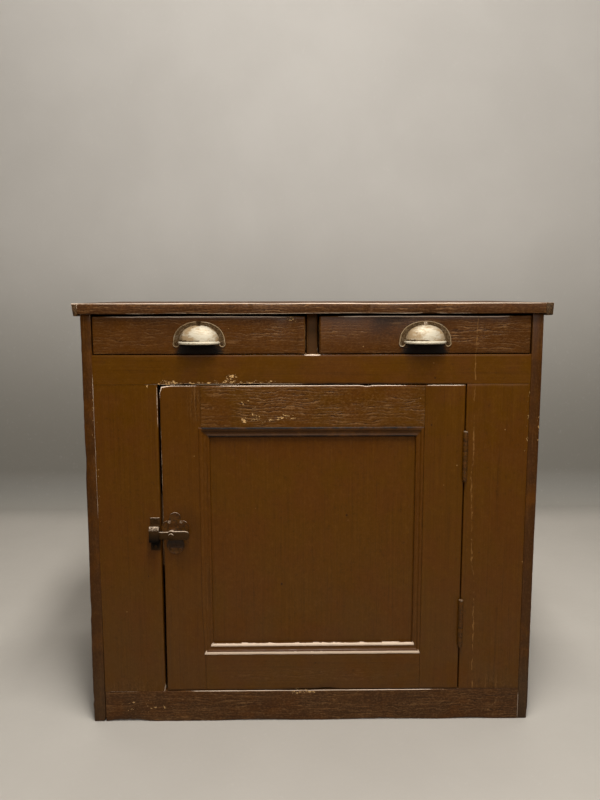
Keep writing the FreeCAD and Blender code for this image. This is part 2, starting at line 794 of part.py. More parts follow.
def latch_lever():
    """The lever on its pivot: a tongue that drops into the keeper and a thumb piece."""
    near = d.lever_front
    far = -d.lever_standoff
    half = d.lever_bar_height / 2
    x = d.pivot_x
    tongue_z = (d.latch_level - half, d.latch_level + half)
    thumb_half = d.lever_thumb_height / 2
    thumb_z = (d.latch_level - thumb_half, d.latch_level + thumb_half)
    pieces = [
        box("lever_tongue", (x - d.lever_tongue, x), (near, far), tongue_z),
        box("lever_thumb", (x, x + d.lever_thumb), (near, far), thumb_z),
        disc("lever_hub", x, d.latch_level, d.lever_hub_radius, near, far),
        disc("lever_tip", x + d.lever_thumb, d.latch_level, thumb_half, near, far),
    ]
    bore = disc("lever_bore", x, d.latch_level, d.pivot_radius + d.pin_slack, near, far)
    keep("latch_lever", cut("latch_lever", fuse("lever_uncut", pieces), [bore]))
    head_back = near - d.running_gap
    head_front = head_back - d.pin_head_height
    head = disc("pivot_head", x, d.latch_level, d.pivot_head_radius, head_front, head_back)
    shaft = disc("pivot_shaft", x, d.latch_level, d.pivot_radius, head_front, 0)
    keep("latch_pivot", fuse("latch_pivot", [head, shaft]))


def keeper_hook(right, level):
    """The keeper's hook, open at the top, with a ramp that the tongue rides up as it shuts."""
    front = d.lever_front - d.running_gap - d.keeper_lip
    slot_front = d.lever_front - d.running_gap
    slot_back = d.running_gap - d.lever_standoff
    floor = level - d.lever_bar_height / 2 - d.running_gap
    low = floor - d.keeper_sole
    high = low + d.keeper_hook_height
    corners = [
        (as_size(0), low),
        (front + d.keeper_ease, low),
        (front, low + d.keeper_ease),
        (front, high - d.keeper_ramp),
        (front + d.keeper_ramp, high),
        (slot_front, high),
        (slot_front, floor),
        (slot_back, floor),
        (slot_back, high),
        (as_size(0), high),
    ]
    hook = padded_outline("keeper_hook", "YZ_Plane", corners, d.keeper_width)
    place(hook, right - d.keeper_width, 0, 0)
    return hook


def latch_keeper():
    """A plate on the case that carries the hook which the lever's tongue rests in."""
    x = (d.keeper_right - d.keeper_width, d.keeper_right)
    half = d.keeper_height / 2
    plate_z = (d.latch_level - half, d.latch_level + half)
    plate = box("keeper_plate", x, (-d.keeper_plate_thickness, 0), plate_z)
    hook = keeper_hook(d.keeper_right, d.latch_level)
    middle = (x[0] + x[1]) / 2
    levels = (d.latch_level - d.keeper_screw_reach, d.latch_level + d.keeper_screw_reach)
    points = [(middle, -d.keeper_plate_thickness, level) for level in levels]
    holes = screws_and_holes("keeper_screws", points, (0, 1, 0), d.screw_length)
    keep("latch_keeper", cut("latch_keeper", fuse("keeper_uncut", [plate, hook]), holes))
    return holes


# ---- drawers ------------------------------------------------------------------------------

def drawer_side(name, left, low):
    """A drawer side with two dovetails at its front end, before its grooves are cut."""
    root = d.drawer_front_thickness
    end = d.dovetail_lap
    high = low + d.drawer_side_height
    rear = d.drawer_length
    tail = (d.drawer_side_height - 3 * d.dovetail_pin) / 2
    corners = [(rear, low), (rear, high), (root, high)]
    for index in (1, 0):
        foot = low + d.dovetail_pin + (tail + d.dovetail_pin) * index
        head = foot + tail
        corners += [
            (root, head - d.dovetail_flare),
            (end, head),
            (end, foot),
            (root, foot + d.dovetail_flare),
        ]
    corners.append((root, low))
    body = padded_outline(name, "YZ_Plane", corners, d.drawer_side_thickness)
    place(body, left, 0, 0)
    return body


def dome(name, x, low, size, back, high):
    """The part of an ellipsoid in front of a plane and between two levels."""
    wide, deep, tall = size
    ball = doc.addObject("Part::Ellipsoid", name + "_ball")
    bind(ball, "Radius1", tall)
    bind(ball, "Radius2", wide)
    bind(ball, "Radius3", deep)
    place(ball, x, 0, low)
    zone = box(name + "_zone", (x - wide * 2, x + wide * 2), (-deep * 2, back), (low, high))
    return common(name, ball, zone)


def cup_pull(name, x, low, holes):
    """A half-round backplate with two ears and a domed hood that is open underneath."""
    half = d.pull_width / 2
    high = low + d.pull_height
    face = -d.pull_plate_thickness
    radius = (half * half + d.pull_height * d.pull_height) / (2 * d.pull_height)
    above = box(name + "_above", (x - half, x + half), (face, 0), (low, high))
    plate = common(name + "_plate", disc(name + "_disc", x, high - radius, radius, face, 0), above)
    ear_x = half - d.pull_ear_radius
    ear_z = low + d.pull_screw_rise
    ears = []
    for side, word in SIDE_NAMES.items():
        ears.append(disc(f"{name}_ear_{word}", x + side * ear_x, ear_z, d.pull_ear_radius, face, 0))
    outer = (d.cup_width / 2, d.pull_projection - d.pull_lip, d.cup_height)
    inner = tuple(radius - d.pull_wall for radius in outer)
    lip = (d.pull_lip_width / 2, d.pull_projection, d.cup_height + d.pull_lip)
    hood = dome(name + "_hood", x, low, outer, 0, high)
    rim = dome(name + "_rim", x, low, lip, 0, low + d.pull_lip_height)
    hollow = dome(name + "_hollow", x, low, inner, face, high)
    keep(name, cut(name, fuse(name + "_uncut", [plate, hood, rim] + ears), [hollow] + holes))


def pull_screw_points(x, low):
    """One screw over the hood and one in each lower corner of the backplate."""
    face = -d.pull_plate_thickness
    corner = d.pull_width / 2 - d.pull_screw_inset
    return [
        (x - corner, face, low + d.pull_screw_rise),
        (x + corner, face, low + d.pull_screw_rise),
        (x, face, low + d.pull_height - d.pull_screw_drop),
    ]


def drawer(side):
    """A dovetailed drawer box with a grooved-in bottom and a cup pull."""
    name = "drawer_" + SIDE_NAMES[side]
    inner_edge = d.partition_thickness / 2 + d.drawer_gap_side
    front_x = mirrored(side, inner_edge, d.inner - d.drawer_gap_side)
    low = d.rail_top + d.running_gap
    front_z = (d.rail_top + d.drawer_gap_below, d.side_height - d.drawer_gap_above)
    wall = d.drawer_side_thickness
    sides = [
        drawer_side(name + "_side_left_blank", front_x[0], low),
        drawer_side(name + "_side_right_blank", front_x[1] - wall, low),
    ]
    board_x = (front_x[0] + wall - d.drawer_groove, front_x[1] - wall + d.drawer_groove)
    bottom_z = (low + d.drawer_bottom_rise, low + d.drawer_bottom_rise + d.drawer_bottom_thickness)
    bottom_depth = (d.drawer_front_thickness - d.drawer_groove, d.drawer_length)
    bottom = keep(name + "_bottom", box(name + "_bottom", board_x, bottom_depth, bottom_z))
    rear = d.drawer_length - d.drawer_back_inset
    back_depth = (rear - d.drawer_back_thickness, rear)
    back_z = (bottom_z[1], low + d.drawer_side_height)
    back = keep(name + "_back", box(name + "_back", board_x, back_depth, back_z))
    for word, blank in zip(("left", "right"), sides):
        keep(f"{name}_side_{word}", cut(f"{name}_side_{word}", blank, [bottom, back]))
    pull_x = (front_x[0] + front_x[1]) / 2
    pull_low = front_z[0] + d.pull_lift
    points = pull_screw_points(pull_x, pull_low)
    holes = screws_and_holes(name + "_pull_screws", points, (0, 1, 0), d.screw_length)
    front = box(name + "_front_board", front_x, (0, d.drawer_front_thickness), front_z)
    keep(name + "_front", cut(name + "_front", front, sides + [bottom] + holes))
    cup_pull(name + "_pull", pull_x, pull_low, holes)


# ---- build --------------------------------------------------------------------------------

def build():
    """Make every sub-part in the order in which one is cut to fit another."""
    case_leaves, case_holes, door_leaves, door_holes = hinges()
    plate_holes = latch_plate()
    keeper_holes = latch_keeper()
    latch_lever()
    case_front(case_leaves, {LEFT: keeper_holes, RIGHT: case_holes})
    top()
    back_boards()
    drawer_carcase()
    cupboard_inside()
    door_stop()
    door(door_leaves, door_holes, plate_holes)
    for side in SIDE_NAMES:
        drawer(side)
    doc.recompute()


def check():
    """Stop if any object failed or any sub-part is empty or not valid."""
    for item in doc.Objects:
        if "Invalid" in item.State or "Error" in item.State:
            raise RuntimeError(f"{item.Name} failed to compute: {item.State}")
    for name, item in nodes.items():
        if item.Label != name:
            raise RuntimeError(f"{name} is labelled {item.Label}")
        if item.Shape.isNull() or not item.Shape.isValid() or not item.Shape.Solids:
            raise RuntimeError(f"{name} has no valid solid")


def write():
    """Write each sub-part to its own file."""
    os.makedirs("parts", exist_ok=True)
    for name, item in nodes.items():
        item.Shape.exportStep(f"parts/{name}.step")
        volume = sum(solid.Volume for solid in item.Shape.Solids)
        print(f"{name}: {len(item.Shape.Solids)} solids, {volume:.0f} mm3")
    print(len(nodes), "sub-parts")


fill_sheet()
d = Dimensions()
build()
check()
write()
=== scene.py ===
"""Dresses the cupboard's frame: worn brown paint over pine, nickelled cup pulls and old iron."""

import json
import math
import random

import bmesh
import bpy
from bpy.props import FloatProperty
from bpy.props import FloatVectorProperty
from bpy.props import PointerProperty
from mathutils import Euler
from mathutils import Matrix
from mathutils import Vector
from mathutils import noise
from mathutils.bvhtree import BVHTree

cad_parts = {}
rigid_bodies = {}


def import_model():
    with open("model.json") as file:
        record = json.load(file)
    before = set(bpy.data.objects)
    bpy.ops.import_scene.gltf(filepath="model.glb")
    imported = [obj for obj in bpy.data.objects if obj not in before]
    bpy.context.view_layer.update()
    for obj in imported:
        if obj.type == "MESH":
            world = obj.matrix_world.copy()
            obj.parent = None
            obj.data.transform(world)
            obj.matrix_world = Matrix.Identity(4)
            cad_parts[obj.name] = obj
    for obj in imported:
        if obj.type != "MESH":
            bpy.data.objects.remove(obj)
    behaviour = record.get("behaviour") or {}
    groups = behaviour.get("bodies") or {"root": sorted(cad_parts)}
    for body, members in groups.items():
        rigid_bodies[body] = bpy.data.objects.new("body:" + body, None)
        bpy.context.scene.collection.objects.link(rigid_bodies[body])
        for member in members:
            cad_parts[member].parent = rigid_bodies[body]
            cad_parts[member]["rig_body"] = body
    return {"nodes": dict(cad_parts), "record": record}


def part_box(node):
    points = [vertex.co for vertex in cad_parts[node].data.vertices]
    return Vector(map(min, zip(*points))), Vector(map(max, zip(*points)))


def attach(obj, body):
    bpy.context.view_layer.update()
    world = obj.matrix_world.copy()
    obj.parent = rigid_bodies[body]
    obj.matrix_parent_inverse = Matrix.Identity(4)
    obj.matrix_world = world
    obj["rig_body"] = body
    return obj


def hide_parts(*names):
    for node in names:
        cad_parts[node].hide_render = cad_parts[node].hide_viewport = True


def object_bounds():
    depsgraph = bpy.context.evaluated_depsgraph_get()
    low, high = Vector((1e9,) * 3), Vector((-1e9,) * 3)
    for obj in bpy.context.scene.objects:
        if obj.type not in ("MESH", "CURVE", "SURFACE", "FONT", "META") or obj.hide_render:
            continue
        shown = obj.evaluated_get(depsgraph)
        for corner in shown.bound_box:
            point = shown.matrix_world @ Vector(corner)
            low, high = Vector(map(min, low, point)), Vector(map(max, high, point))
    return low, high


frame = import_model()

bl_info = {
    "name": "Painted Jelly Cupboard",
    "version": (1, 0, 0),
    "blender": (4, 5, 0),
    "location": "View3D > Sidebar > Cupboard",
    "description": "Dresses the cupboard's frame in worn paint, aged pine and old metal",
    "category": "Object",
}

MM = 0.001
X, Y, Z = 0, 1, 2
FRAME_LOW, FRAME_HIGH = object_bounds()
SLOTS = {part["node"]: part["material_slot"] for part in frame["record"]["subparts"]}

# Corners of less than the first angle are shaded smooth, and of less than the second are flat.
SMOOTH_BELOW = math.radians(38)
FLAT_BELOW = math.radians(0.4)

# A board's edge is worn from the first angle and length, a fitting's from the second angle, and
# an edge is a joint where another board is nearer than the last length.
ARRIS_FROM = math.radians(40)
ROUNDED_FROM = math.radians(35)
SHORTEST_ARRIS = 0.0015
TOUCHING = 0.0008


def colour(red, green, blue):
    """A screen colour, 0 to 255, as the linear colour that a shader takes."""
    shares = [value / 255 for value in (red, green, blue)]
    return tuple(s / 12.92 if s <= 0.04045 else ((s + 0.055) / 1.055) ** 2.4 for s in shares)


def tint(name, description, red, green, blue):
    """A colour that a user may change."""
    return FloatVectorProperty(
        name=name,
        description=description,
        subtype="COLOR",
        size=3,
        min=0.0,
        max=1.0,
        default=colour(red, green, blue),
    )


def span(name, description, millimetres):
    """A length that a user may change."""
    return FloatProperty(
        name=name,
        description=description,
        subtype="DISTANCE",
        unit="LENGTH",
        min=0.0,
        default=millimetres * MM,
    )


def amount(name, description, default, **kind):
    """A plain number that a user may change."""
    return FloatProperty(name=name, description=description, default=default, **kind)


# ---- settings -----------------------------------------------------------------------------


class PaintColours(bpy.types.PropertyGroup):
    """Colours of the painted and the bare wood."""

    olive: tint("Paint", "The brown of the satin paint", 80, 46, 0)
    red: tint("Redder paint", "Where the paint has gone redder", 82, 41, 5)
    dusty: tint("Dusty paint", "Near the floor, where dust has dulled the paint", 73, 55, 34)
    # This pale colour is also laid as a painted highlight along edges that face the light.
    rubbed_and_lit: tint("Rubbed edge", "Where hands have rubbed an edge thin", 226, 201, 175)
    undercoat: tint("Undercoat", "The coat that shows where the paint has chipped", 206, 162, 104)
    crack: tint("Crack edge", "The lifted lips of cracked paint", 146, 106, 64)
    # This dark colour paints real stains, and also the painted shadow under the cup pulls and the painted
    # shade on the panel's top moulding.
    stain_and_shadow: tint("Stain", "Dark stains and the grime of hands", 20, 13, 8)
    pine: tint("Pine", "Aged bare pine", 158, 118, 74)
    ring: tint("Pine rings", "The dark lines of its growth rings", 112, 74, 40)
    soot: tint("Pine grime", "Grime on the bare wood", 84, 64, 46)


class MetalColours(bpy.types.PropertyGroup):
    """Colours of the fittings."""

    nickel: tint("Nickel", "The plate that is left on the cup pulls", 198, 186, 162)
    brass: tint("Brass", "The brass where the plate has worn through", 150, 120, 80)
    tarnish: tint("Tarnish", "Dark tarnish in the pulls' corners", 62, 42, 15)
    iron: tint("Iron", "The latch's dark iron", 50, 32, 12)
    iron_worn: tint("Worn iron", "Where the latch is rubbed bright", 214, 190, 162)
    steel: tint("Steel", "Screws and nails", 120, 108, 92)


class WearSizes(bpy.types.PropertyGroup):
    """How worn the boards are."""

    arris: span("Arris", "Width of a worn edge that stands free", 1.5)
    joint: span("Joint", "Width of the groove where two boards meet flush", 0.35)
    hollow: span("Hollow", "Depth of the hollows that hand planing left", 0.3)
    nick: span("Nick", "Depth of the nicks along an edge", 0.7)
    slice: span("Slice", "Distance between the loops that let an edge waver", 7.0)


class PullSizes(bpy.types.PropertyGroup):
    """Sizes of the cup pulls."""

    plate_thickness: span("Plate", "Thickness of the back plate", 1.5)
    border: span("Border", "Width of the plate's raised border", 1.4)
    border_rise: span("Border rise", "How far the border stands up", 0.8)
    cup_width: span("Cup width", "Width of the cup at the plate", 78.0)
    cup_height: span("Cup height", "Height of the cup", 33.5)
    lip_width: span("Lip width", "Width across the cup's lip", 82.0)
    wall: span("Wall", "Thickness of the cup's wall", 1.4)
    foot: span("Foot", "How far the lip is above the ears' lowest points", 9.2)
    bead: span("Bead", "Radius of the rolled lip", 2.8)
    ear_radius: span("Ear", "Radius of the ears that the lower screws go through", 6.5)


class StageSettings(bpy.types.PropertyGroup):
    """Floor, wall, lamps and camera."""

    floor: tint("Floor", "Colour of the floor", 186, 178, 166)
    # The wall's two colours paint its shade: darker at the foot, lighter high up.
    wall_foot: tint("Foot of the wall", "Colour of the wall where it meets the floor", 134, 129, 119)
    wall_top: tint("Top of the wall", "Colour of the wall high up", 195, 188, 178)
    overhead: amount("Overhead lamp", "Power of the lamp above the cupboard", 65.0, unit="POWER")
    front: amount("Front lamp", "Power of the lamp high up in front", 34.0, unit="POWER")
    wall: amount("Wall lamp", "Power of the lamp that lights the wall", 27.0, unit="POWER")
    air: amount("Air", "Strength of the light from all sides", 0.075, subtype="FACTOR")
    lens: amount("Lens", "Focal length on a sensor 36 mm long", 33.75, unit="CAMERA")


class CupboardSettings(bpy.types.PropertyGroup):
    """Everything that a user may change."""

    paint: PointerProperty(type=PaintColours)
    metal: PointerProperty(type=MetalColours)
    wear: PointerProperty(type=WearSizes)
    pull: PointerProperty(type=PullSizes)
    stage: PointerProperty(type=StageSettings)


def settings():
    """The scene's own settings."""
    return bpy.context.scene.cupboard


# ---- finishes -----------------------------------------------------------------------------


class Nodes:
    """A node tree, with the calls that materials and shapes share."""

    def feed(self, socket, value):
        """Sets an input to a value, or links another node's output to it."""
        if isinstance(value, bpy.types.NodeSocket):
            self.tree.links.new(value, socket)
        else:
            socket.default_value = value

    def node(self, kind, inputs=None, **options):
        """Adds a node and fills its inputs."""
        made = self.tree.nodes.new(kind)
        for option, value in options.items():
            setattr(made, option, value)
        for socket, value in (inputs or {}).items():
            self.feed(made.inputs[socket], value)
        return made

    def result(self, kind, inputs=None, **options):
        """Adds a node and gives its first output."""
        return self.node(kind, inputs, **options).outputs[0]

    def math(self, operation, *values):
        """A sum, product or other step on plain numbers."""
        return self.result("ShaderNodeMath", dict(enumerate(values)), operation=operation)

    def vector(self, operation, inputs):
        """A step on vectors."""
        return self.result("ShaderNodeVectorMath", inputs, operation=operation)


class Recipe(Nodes):
    """A material's node tree: its colour is laid on coat by coat, and its surface ends it."""

    def __init__(self, name):
        self.material = bpy.data.materials.new(name)
        self.material.use_nodes = True
        self.tree = self.material.node_tree
        self.tree.nodes.clear()
        self.base = None

    def product(self, *values):
        """All the values multiplied together."""
        result = values[0]
        for value in values[1:]:
            result = self.math("MULTIPLY", result, value)
        return result

    def total(self, *values):
        """All the values added up."""
        result = values[0]
        for value in values[1:]:
            result = self.math("ADD", result, value)
        return result

    def ramp(self, value, low, high, start=0.0, end=1.0):
        """A smooth step of value from low to high, given as start to end."""
        inputs = {"Value": value, "From Min": low, "From Max": high, "To Min": start, "To Max": end}
        return self.result("ShaderNodeMapRange", inputs, interpolation_type="SMOOTHSTEP")

    def blend(self, share, first, second):
        """Mixes two colours."""
        made = self.node("ShaderNodeMix", {0: share}, data_type="RGBA", clamp_factor=True)
        for index, value in ((6, first), (7, second)):
            plain = not isinstance(value, bpy.types.NodeSocket)
            self.feed(made.inputs[index], (*tuple(value)[:3], 1.0) if plain else value)
        return made.outputs[2]

    def coat(self, share, shade):
        """Lays one more colour over the rest, as thick as its share."""
        self.base = self.blend(share, self.base, shade)

    def stretch(self, vector, *scale):
        """A vector scaled along its three directions."""
        return self.vector("MULTIPLY", {0: vector, 1: scale})

    def cloud(self, vector, scale=1.0, detail=3.0, roughness=0.55, distortion=0.0):
        """Soft noise from 0 to 1."""
        inputs = {"Vector": vector, "Scale": scale, "Detail": detail}
        inputs.update({"Roughness": roughness, "Distortion": distortion})
        return self.node("ShaderNodeTexNoise", inputs).outputs["Fac"]

    def warp(self, vector, scale, amount):
        """A vector pushed about by noise."""
        cloud = self.node("ShaderNodeTexNoise", {"Vector": vector, "Scale": scale, "Detail": 2.0})
        centred = self.vector("SUBTRACT", {0: cloud.outputs["Color"], 1: (0.5, 0.5, 0.5)})
        pushed = self.vector("SCALE", {0: centred, "Scale": amount})
        return self.vector("ADD", {0: vector, 1: pushed})

    def parts(self, vector):
        """A vector and its three numbers."""
        return (vector, *self.node("ShaderNodeSeparateXYZ", {0: vector}).outputs[:])

    def attribute(self, name):
        """A piece's own vector attribute and its three numbers."""
        return self.parts(self.node("ShaderNodeAttribute", attribute_name=name).outputs["Vector"])

    def place(self):
        """Where a point is in the frame, and its three numbers."""
        return self.parts(self.node("ShaderNodeTexCoord").outputs["Object"])

    def spots(self, vector, cell, size, share):
        """Scattered spots: cell and size are lengths, share is how many cells have one."""
        found = self.node("ShaderNodeTexVoronoi", {"Vector": vector, "Scale": 1.0 / cell})
        parts = self.node("ShaderNodeSeparateColor", {0: found.outputs["Color"]})
        width = self.math("MULTIPLY", self.math("ADD", parts.outputs[1], 0.35), size / cell)
        inside = self.math("SUBTRACT", width, found.outputs["Distance"])
        chosen = self.math("LESS_THAN", parts.outputs[0], share)
        return self.math("MULTIPLY", self.ramp(inside, 0.0, 0.25 * size / cell), chosen)

    def ridge(self, value, level, width):
        """A thin line, 1 where value is at level and 0 once it is width away."""
        away = self.math("ABSOLUTE", self.math("SUBTRACT", value, level))
        return self.ramp(away, width, 0.3 * width)

    def surface(self, height, one_sided=False, **inputs):
        """Ends the tree: a shader whose height is in millimetres, clear from its back if one-sided."""
        shader = self.node("ShaderNodeBsdfPrincipled")
        for socket, value in (("Base_Color", self.base), *inputs.items()):
            self.feed(shader.inputs[socket.replace("_", " ")], value)
        bump = {"Height": height, "Distance": MM, "Strength": 1.0}
        self.feed(shader.inputs["Normal"], self.result("ShaderNodeBump", bump))
        seen = shader.outputs[0]
        if one_sided:
            behind = self.node("ShaderNodeNewGeometry").outputs["Backfacing"]
            clear = self.result("ShaderNodeBsdfTransparent")
            seen = self.result("ShaderNodeMixShader", {0: behind, 1: seen, 2: clear})
        self.node("ShaderNodeOutputMaterial", {0: seen})
        return self.material


def brown_paint(paint):
    """Old satin paint: brush marks along the grain, cracks, chips, rubbed edges, dust below."""
    r = Recipe("brown_paint")
    here, sideways, _, level = r.place()
    grain, _, grain_across, grain_into = r.attribute("grain")
    _, edge, cracked, chipped = r.attribute("wear")
    _, scuffed, stained_and_shaded, rubbed_and_lit = r.attribute("marks")
    _, reddened, dusty, run = r.attribute("tone")

    # the coat itself: patches gone redder, brush marks along the grain, mottling
    patches = r.ramp(r.cloud(here, 9.0, 4.0, 0.65), 0.4, 0.62)
    redness = r.math("MAXIMUM", r.math("MULTIPLY", patches, 0.45), reddened)
    r.base = r.blend(redness, paint.olive, paint.red)
    streaks = r.cloud(r.stretch(grain, 5.0, 260.0, 260.0), 1.0, 5.0, 0.7)
    fine = r.cloud(r.stretch(grain, 20.0, 900.0, 900.0), 1.0, 2.0)
    r.coat(r.ramp(streaks, 0.5, 0.74, 0.0, 0.32), colour(98, 61, 8))
    r.coat(r.ramp(streaks, 0.5, 0.26, 0.0, 0.4), colour(52, 28, 2))
    r.coat(r.ramp(fine, 0.5, 0.8, 0.0, 0.2), colour(98, 62, 10))
    mottle = r.cloud(here, 95.0, 5.0, 0.75)
    r.coat(r.ramp(mottle, 0.52, 0.72, 0.0, 0.35), colour(100, 62, 12))
    r.coat(r.ramp(mottle, 0.45, 0.28, 0.0, 0.4), colour(50, 28, 3))

    # dust towards the floor, and grime, which also carries the painted shade on the panel's top moulding and
    # the painted shadow under the cup pulls
    low = r.product(r.ramp(level, 0.45, 0.0), r.ramp(r.cloud(here, 11.0, 4.0), 0.3, 0.6, 0.3, 1.0))
    r.coat(r.math("MAXIMUM", r.product(low, 0.35), dusty), paint.dusty)
    darkening = r.product(stained_and_shaded, r.ramp(r.cloud(here, 22.0, 5.0, 0.65), 0.25, 0.55))
    r.coat(darkening, paint.stain_and_shadow)

    # scrapes along the grain, pale and dark
    dry = r.cloud(r.stretch(grain, 10.0, 190.0, 190.0), 1.0, 6.0, 0.8)
    scrape = r.product(r.ramp(dry, 0.54, 0.66), scuffed)
    r.coat(r.product(scrape, 0.55), colour(134, 92, 52))
    dark_scrape = r.product(r.ramp(dry, 0.45, 0.34), scuffed)
    r.coat(r.product(dark_scrape, 0.6), colour(34, 20, 12))

    # cracks along the grain, each with a lifted lip, and finer ones between them
    patchy = r.ramp(r.cloud(r.stretch(grain, 9.0, 26.0, 26.0), 1.0, 3.0), 0.34, 0.56)
    breaks = r.cloud(r.stretch(grain, 30.0, 130.0, 130.0), 1.0, 4.0, 0.6)
    broken_up = r.ramp(breaks, 0.38, 0.6, 0.2, 1.0)
    reach = r.product(r.math("MINIMUM", r.product(patchy, cracked, 1.6), 1.0), broken_up)
    rows = r.total(grain_across, grain_into)
    sway = r.cloud(r.stretch(grain, 14.0, 50.0, 50.0), 1.0, 4.0, 0.58)
    lines = r.math("FRACT", r.total(r.product(rows, 150.0), r.product(sway, 4.5)))
    shake = r.cloud(r.stretch(grain, 70.0, 110.0, 110.0), 1.0, 4.0, 0.65)
    threads = r.math("FRACT", r.total(r.product(rows, 330.0), r.product(shake, 5.0)))
    lip = r.product(r.ridge(lines, 0.5, 0.16), reach)
    crack = r.product(r.ridge(lines, 0.72, 0.17), reach)
    small_lip = r.product(r.ridge(threads, 0.4, 0.26), reach)
    small_crack = r.product(r.ridge(threads, 0.8, 0.26), reach)
    r.coat(r.product(small_lip, 0.16), paint.crack)
    r.coat(r.product(small_crack, 0.25), colour(40, 20, 4))
    r.coat(r.product(lip, 0.5), paint.crack)
    r.coat(r.product(crack, 0.7), colour(34, 17, 4))

    # grit in the cracked and scraped places, and over all of it the darkest marks, which are the painted
    # shadow under the cup pulls
    grit = r.cloud(r.stretch(grain, 210.0, 330.0, 330.0), 1.0, 3.0, 0.7)
    coarse = r.math("MINIMUM", r.total(r.product(cracked, 0.75), r.product(scuffed, 0.6), 0.16), 0.8)
    r.coat(r.product(r.ramp(grit, 0.5, 0.68), coarse, 0.32), colour(128, 94, 58))
    r.coat(r.product(r.ramp(grit, 0.5, 0.32), coarse, 0.5), colour(42, 22, 6))
    # Painted shadow under the cup pulls, where the marks run highest.
    r.coat(r.ramp(stained_and_shaded, 1.2, 2.4), paint.stain_and_shadow)

    # chips with dark rims, and small pits and specks all over
    flakes = r.cloud(r.stretch(grain, 120.0, 240.0, 240.0), 1.0, 5.0, 0.7, 0.3)
    bound = r.ramp(chipped, 0.0, 1.0, 0.86, 0.51)
    chips = r.ramp(r.math("SUBTRACT", flakes, bound), 0.0, 0.025)
    rims = r.math("SUBTRACT", r.ramp(r.math("SUBTRACT", flakes, bound), -0.05, 0.0), chips)
    specks = r.spots(here, 0.024, 0.0011, 0.2)
    pits = r.spots(r.stretch(here, 1.0, 1.0, 0.8), 0.034, 0.0017, 0.22)
    r.coat(r.product(pits, 0.7), colour(36, 18, 6))
    r.coat(r.product(specks, 0.5), colour(164, 124, 74))

    # edges rubbed thin, then through to the wood; the same pale colour is also laid as painted highlights
    # along edges that face the light
    nibbled = r.cloud(here, 260.0, 4.0, 0.7)
    along = r.cloud(here, 22.0, 3.0, 0.6)
    arris = r.ramp(edge, 0.3, 0.8)
    thin = r.total(
        r.product(arris, r.total(rubbed_and_lit, 0.75)),
        r.product(rubbed_and_lit, 0.25),
        r.product(r.math("SUBTRACT", nibbled, 0.5), 0.9),
        r.product(r.math("SUBTRACT", along, 0.5), 1.3),
    )
    worn = r.ramp(thin, 1.0, 1.35)
    pale = r.ramp(thin, 1.4, 1.8)
    r.coat(r.product(worn, 0.6), colour(118, 78, 36))
    r.coat(r.product(pale, 0.92), paint.rubbed_and_lit)
    r.coat(r.product(rims, 0.6), colour(36, 20, 8))
    r.coat(r.product(chips, 0.92), paint.undercoat)

    # a run of lighter paint down the right side, which wanders
    drift = r.product(r.ramp(level, 0.5, 0.2), 0.0115)
    wander = r.product(r.math("SUBTRACT", r.cloud(here, 9.0, 2.0), 0.5), 0.016)
    shiver = r.product(r.math("SUBTRACT", r.cloud(here, 70.0, 2.0), 0.5), 0.006)
    middle = r.total(drift, wander, shiver, 0.3245)
    beside = r.math("ABSOLUTE", r.math("SUBTRACT", sideways, middle))
    thick = r.ramp(r.cloud(here, 60.0, 3.0), 0.3, 0.7, 0.0004, 0.0022)
    broken = r.ramp(r.cloud(here, 48.0, 4.0, 0.75), 0.42, 0.56)
    trail = r.product(r.ramp(r.math("DIVIDE", beside, thick), 1.2, 0.3), run, broken)
    r.coat(r.product(trail, 0.5), colour(142, 100, 52))

    height = r.total(
        r.product(streaks, 0.12),
        r.product(fine, 0.05),
        r.product(mottle, 0.08),
        r.product(crack, -0.18),
        r.product(lip, 0.08),
        r.product(small_crack, -0.08),
        r.product(small_lip, 0.04),
        r.product(chips, -0.25),
        r.product(pits, -0.3),
        r.product(worn, nibbled, -0.2),
        r.product(scrape, -0.08),
    )
    rough = r.total(
        r.ramp(r.cloud(here, 18.0, 3.0), 0.3, 0.7, 0.28, 0.38),
        r.product(pale, 0.15),
        r.product(chips, 0.3),
        r.product(scuffed, 0.12),
        r.product(dusty, 0.2),
        r.product(stained_and_shaded, 0.15),
    )
    return r.surface(height, Roughness=rough, Specular_IOR_Level=0.12)


def bare_pine(paint):
    """Bare pine gone brown: growth rings round a far heart, fibres, knots and grime."""
    r = Recipe("bare_pine")
    here = r.place()[0]
    grain = r.attribute("grain")[0]
    _, edge, _, _ = r.attribute("wear")
    bent = r.warp(grain, 3.0, 0.018)
    slow = r.stretch(bent, 0.12, 1.0, 1.0)
    wave = {"Vector": slow, "Scale": 62.0, "Distortion": 2.2, "Detail": 2.0, "Detail Scale": 0.6}
    grown = r.node("ShaderNodeTexWave", wave, wave_type="RINGS", rings_direction="X")
    rings = grown.outputs["Fac"]
    late = r.math("POWER", rings, 2.6)
    fibre = r.cloud(r.stretch(grain, 12.0, 800.0, 800.0), 1.0, 3.0, 0.6)
    broad = r.cloud(r.stretch(grain, 2.0, 14.0, 14.0), 1.0, 3.0)
    r.base = r.blend(r.product(late, 0.75), paint.pine, paint.ring)
    r.coat(r.ramp(fibre, 0.45, 0.75, 0.0, 0.35), paint.ring)
    r.coat(r.ramp(broad, 0.35, 0.75, 0.0, 0.5), colour(132, 96, 58))
    knots = r.spots(r.stretch(r.warp(grain, 30.0, 0.01), 0.55, 1.0, 1.0), 0.16, 0.011, 0.14)
    r.coat(r.product(knots, 0.85), colour(66, 36, 18))
    darkening = r.ramp(r.cloud(here, 5.0, 5.0, 0.65), 0.42, 0.75)
    r.coat(r.product(darkening, 0.6), paint.soot)
    dirty_edge = r.ramp(r.math("ADD", edge, r.cloud(here, 120.0, 3.0)), 0.9, 1.4)
    r.coat(r.product(dirty_edge, 0.35), paint.soot)
    height = r.total(r.product(late, 0.07), r.product(fibre, 0.09), r.product(knots, -0.05))
    rough = r.ramp(fibre, 0.2, 0.8, 0.62, 0.8)
    return r.surface(height, Roughness=rough)


